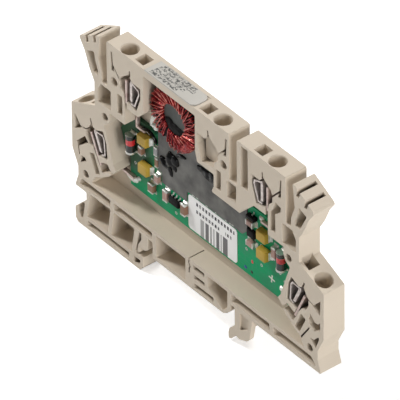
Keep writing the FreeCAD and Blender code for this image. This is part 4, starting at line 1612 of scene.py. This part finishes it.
@dataclass
class CellFloor:
    """The raised floor of the empty terminal cell."""

    low: Triple = (5.4, -1.45, 39.8)
    high: Triple = (11.5, 2.0, 47.4)
    rounding: float = 0.2

    def build(self) -> None:
        """Makes the floor as a pad inside the cell."""
        piece = Bench.block("empty_cell_floor", mm(*self.low), mm(*self.high))
        Bench.soften(piece, self.rounding, 3)
        dress(piece, HOUSING)
        seat(piece, Slot.HOUSING)


@dataclass
class Sticker:
    """The white sticker with rounded corners; its print is plain bars."""

    corner: float = 0.95

    def build(self) -> None:
        """Makes the sticker in place of its node."""
        low, high = corners(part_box("barcode_sticker"))
        piece = Bench.block("white_label", low, high)
        Bench.only(piece)
        bpy.ops.object.mode_set(mode="EDIT")
        bpy.ops.mesh.select_mode(type="EDGE")
        bpy.ops.mesh.select_all(action="DESELECT")
        mesh = bmesh.from_edit_mesh(piece.data)
        for edge in mesh.edges:
            along = edge.verts[1].co - edge.verts[0].co
            edge.select_set(abs(along.normalized().y) > ALONG)
        bmesh.update_edit_mesh(piece.data)
        bpy.ops.mesh.bevel(offset=self.corner * MM, segments=8, affect="EDGES")
        Bench.clear()
        Bench.soften(piece, 0.02, 1)
        dress(piece, STICKER)
        seat(piece, Slot.STICKER, "barcode_sticker")


@dataclass
class CurrentBars:
    """The upper current bars: wide at the clamp, then narrow where they lie against the board."""

    sheet: float = 0.6
    narrow: float = 1.0
    shoulder: float = 39.4

    def bar(self, side: str) -> None:
        """Makes one bar in place of its node.

        Args:
            side: left or right.
        """
        node = "current_bar_upper_" + side
        low, high = corners(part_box(node), MM)
        inward = 1 if side == "left" else -1
        x0 = low.x if side == "left" else high.x - self.sheet
        x1 = x0 + self.sheet
        deep = high.y - self.narrow
        piece = Bench.block("tin_bar_" + side, mm(x0, low.y, self.shoulder), mm(x1, high.y, high.z))
        Bench.cut(piece, mm(0, deep, 0), (0, 1, 0))
        Bench.pick(piece, lambda face: face.normal.z < -ALONG and face.calc_center_median().y > deep * MM)
        Bench.extrude(0, 0, (low.z + self.sheet - self.shoulder) * MM)
        Bench.extrude(0, 0, -self.sheet * MM)
        floor = (low.z + self.sheet) * MM
        Bench.pick(piece, lambda face: face.normal.x * inward > ALONG and face.calc_center_median().z < floor)
        Bench.extrude(inward * (high.x - low.x - self.sheet) * MM, 0, 0)
        Bench.clear()
        Bench.soften(piece, 0.08, 2)
        dress(piece, BAR)
        seat(piece, Slot.BAR, node)

    def build(self) -> None:
        """Makes both bars."""
        self.bar("left")
        self.bar("right")


@dataclass
class SolderHeaps:
    """Solder where the current bars' tails and the covered lead meet the board."""

    heaps: tuple[tuple[str, float, float, float, float], ...] = (
        ("lower_left", -1.5, -1.0, 2.2, 1.2), ("upper_left", 0.4, 0.0, 0.8, 0.5),
        ("upper_right", -0.4, 0.0, 0.8, 0.5), ("lower_right", -0.6, 0.0, 0.9, 0.7))

    lead_joints: tuple[tuple[float, float, float, float], ...] = (
        (-16.3, 34.4, 1.4, 0.75), (-15.6, 33.9, 0.8, 0.6))
    thick: float = 0.55

    def build(self) -> None:
        """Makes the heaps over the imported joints, each around the tip of its bar's tail."""
        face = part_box("circuit_board")[0][1] / MM
        parts = []
        places = list(self.lead_joints)
        for name, u, w, wide, tall in self.heaps:
            low, high = corners(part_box("current_bar_" + name), MM)
            x = high.x if name.endswith("left") else low.x
            places.append((x + u, low.z + 0.4 + w, wide, tall))
        for x, z, wide, tall in places:
            Bench.clear()
            bpy.ops.mesh.primitive_uv_sphere_add(segments=28, ring_count=14, radius=1.0,
                                                 location=mm(x, face, z))
            heap = Bench.added("heap", (wide * MM, self.thick * MM, tall * MM))
            Bench.cut_below(heap, face + 0.02)
            wave = bpy.data.textures.new("solder_wave", "CLOUDS")
            wave.noise_scale = 0.0009
            Bench.change(heap, "SUBSURF", levels=1, render_levels=1)
            Bench.rough_up(heap, wave, 0.35)
            parts.append(Bench.smooth(heap, 70))
        piece = Bench.join("solder_heaps", parts)
        dress(piece, FRESH_SOLDER)
        seat(piece, Slot.SOLDER)


def main() -> None:
    """Builds everything in order."""
    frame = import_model()
    Studio().build(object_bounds()[0])
    dress_nodes(frame)
    Transformer().build()
    Tantalum().build()
    Chips().build()
    Diode().build()
    Package("switching_transistor", "power_switch", 1, 2, crop=1.7).build()
    Package("signal_transistor", "small_transistor", 1, 2).build()
    Package("driver_circuit", "driver_package", 3, 3, crop=0.8).build()
    BoardPrint().build()
    CellFloor().build()
    Sticker().build()
    CurrentBars().build()
    SolderHeaps().build()
    bpy.context.view_layer.update()


if __name__ == "__main__":
    main()
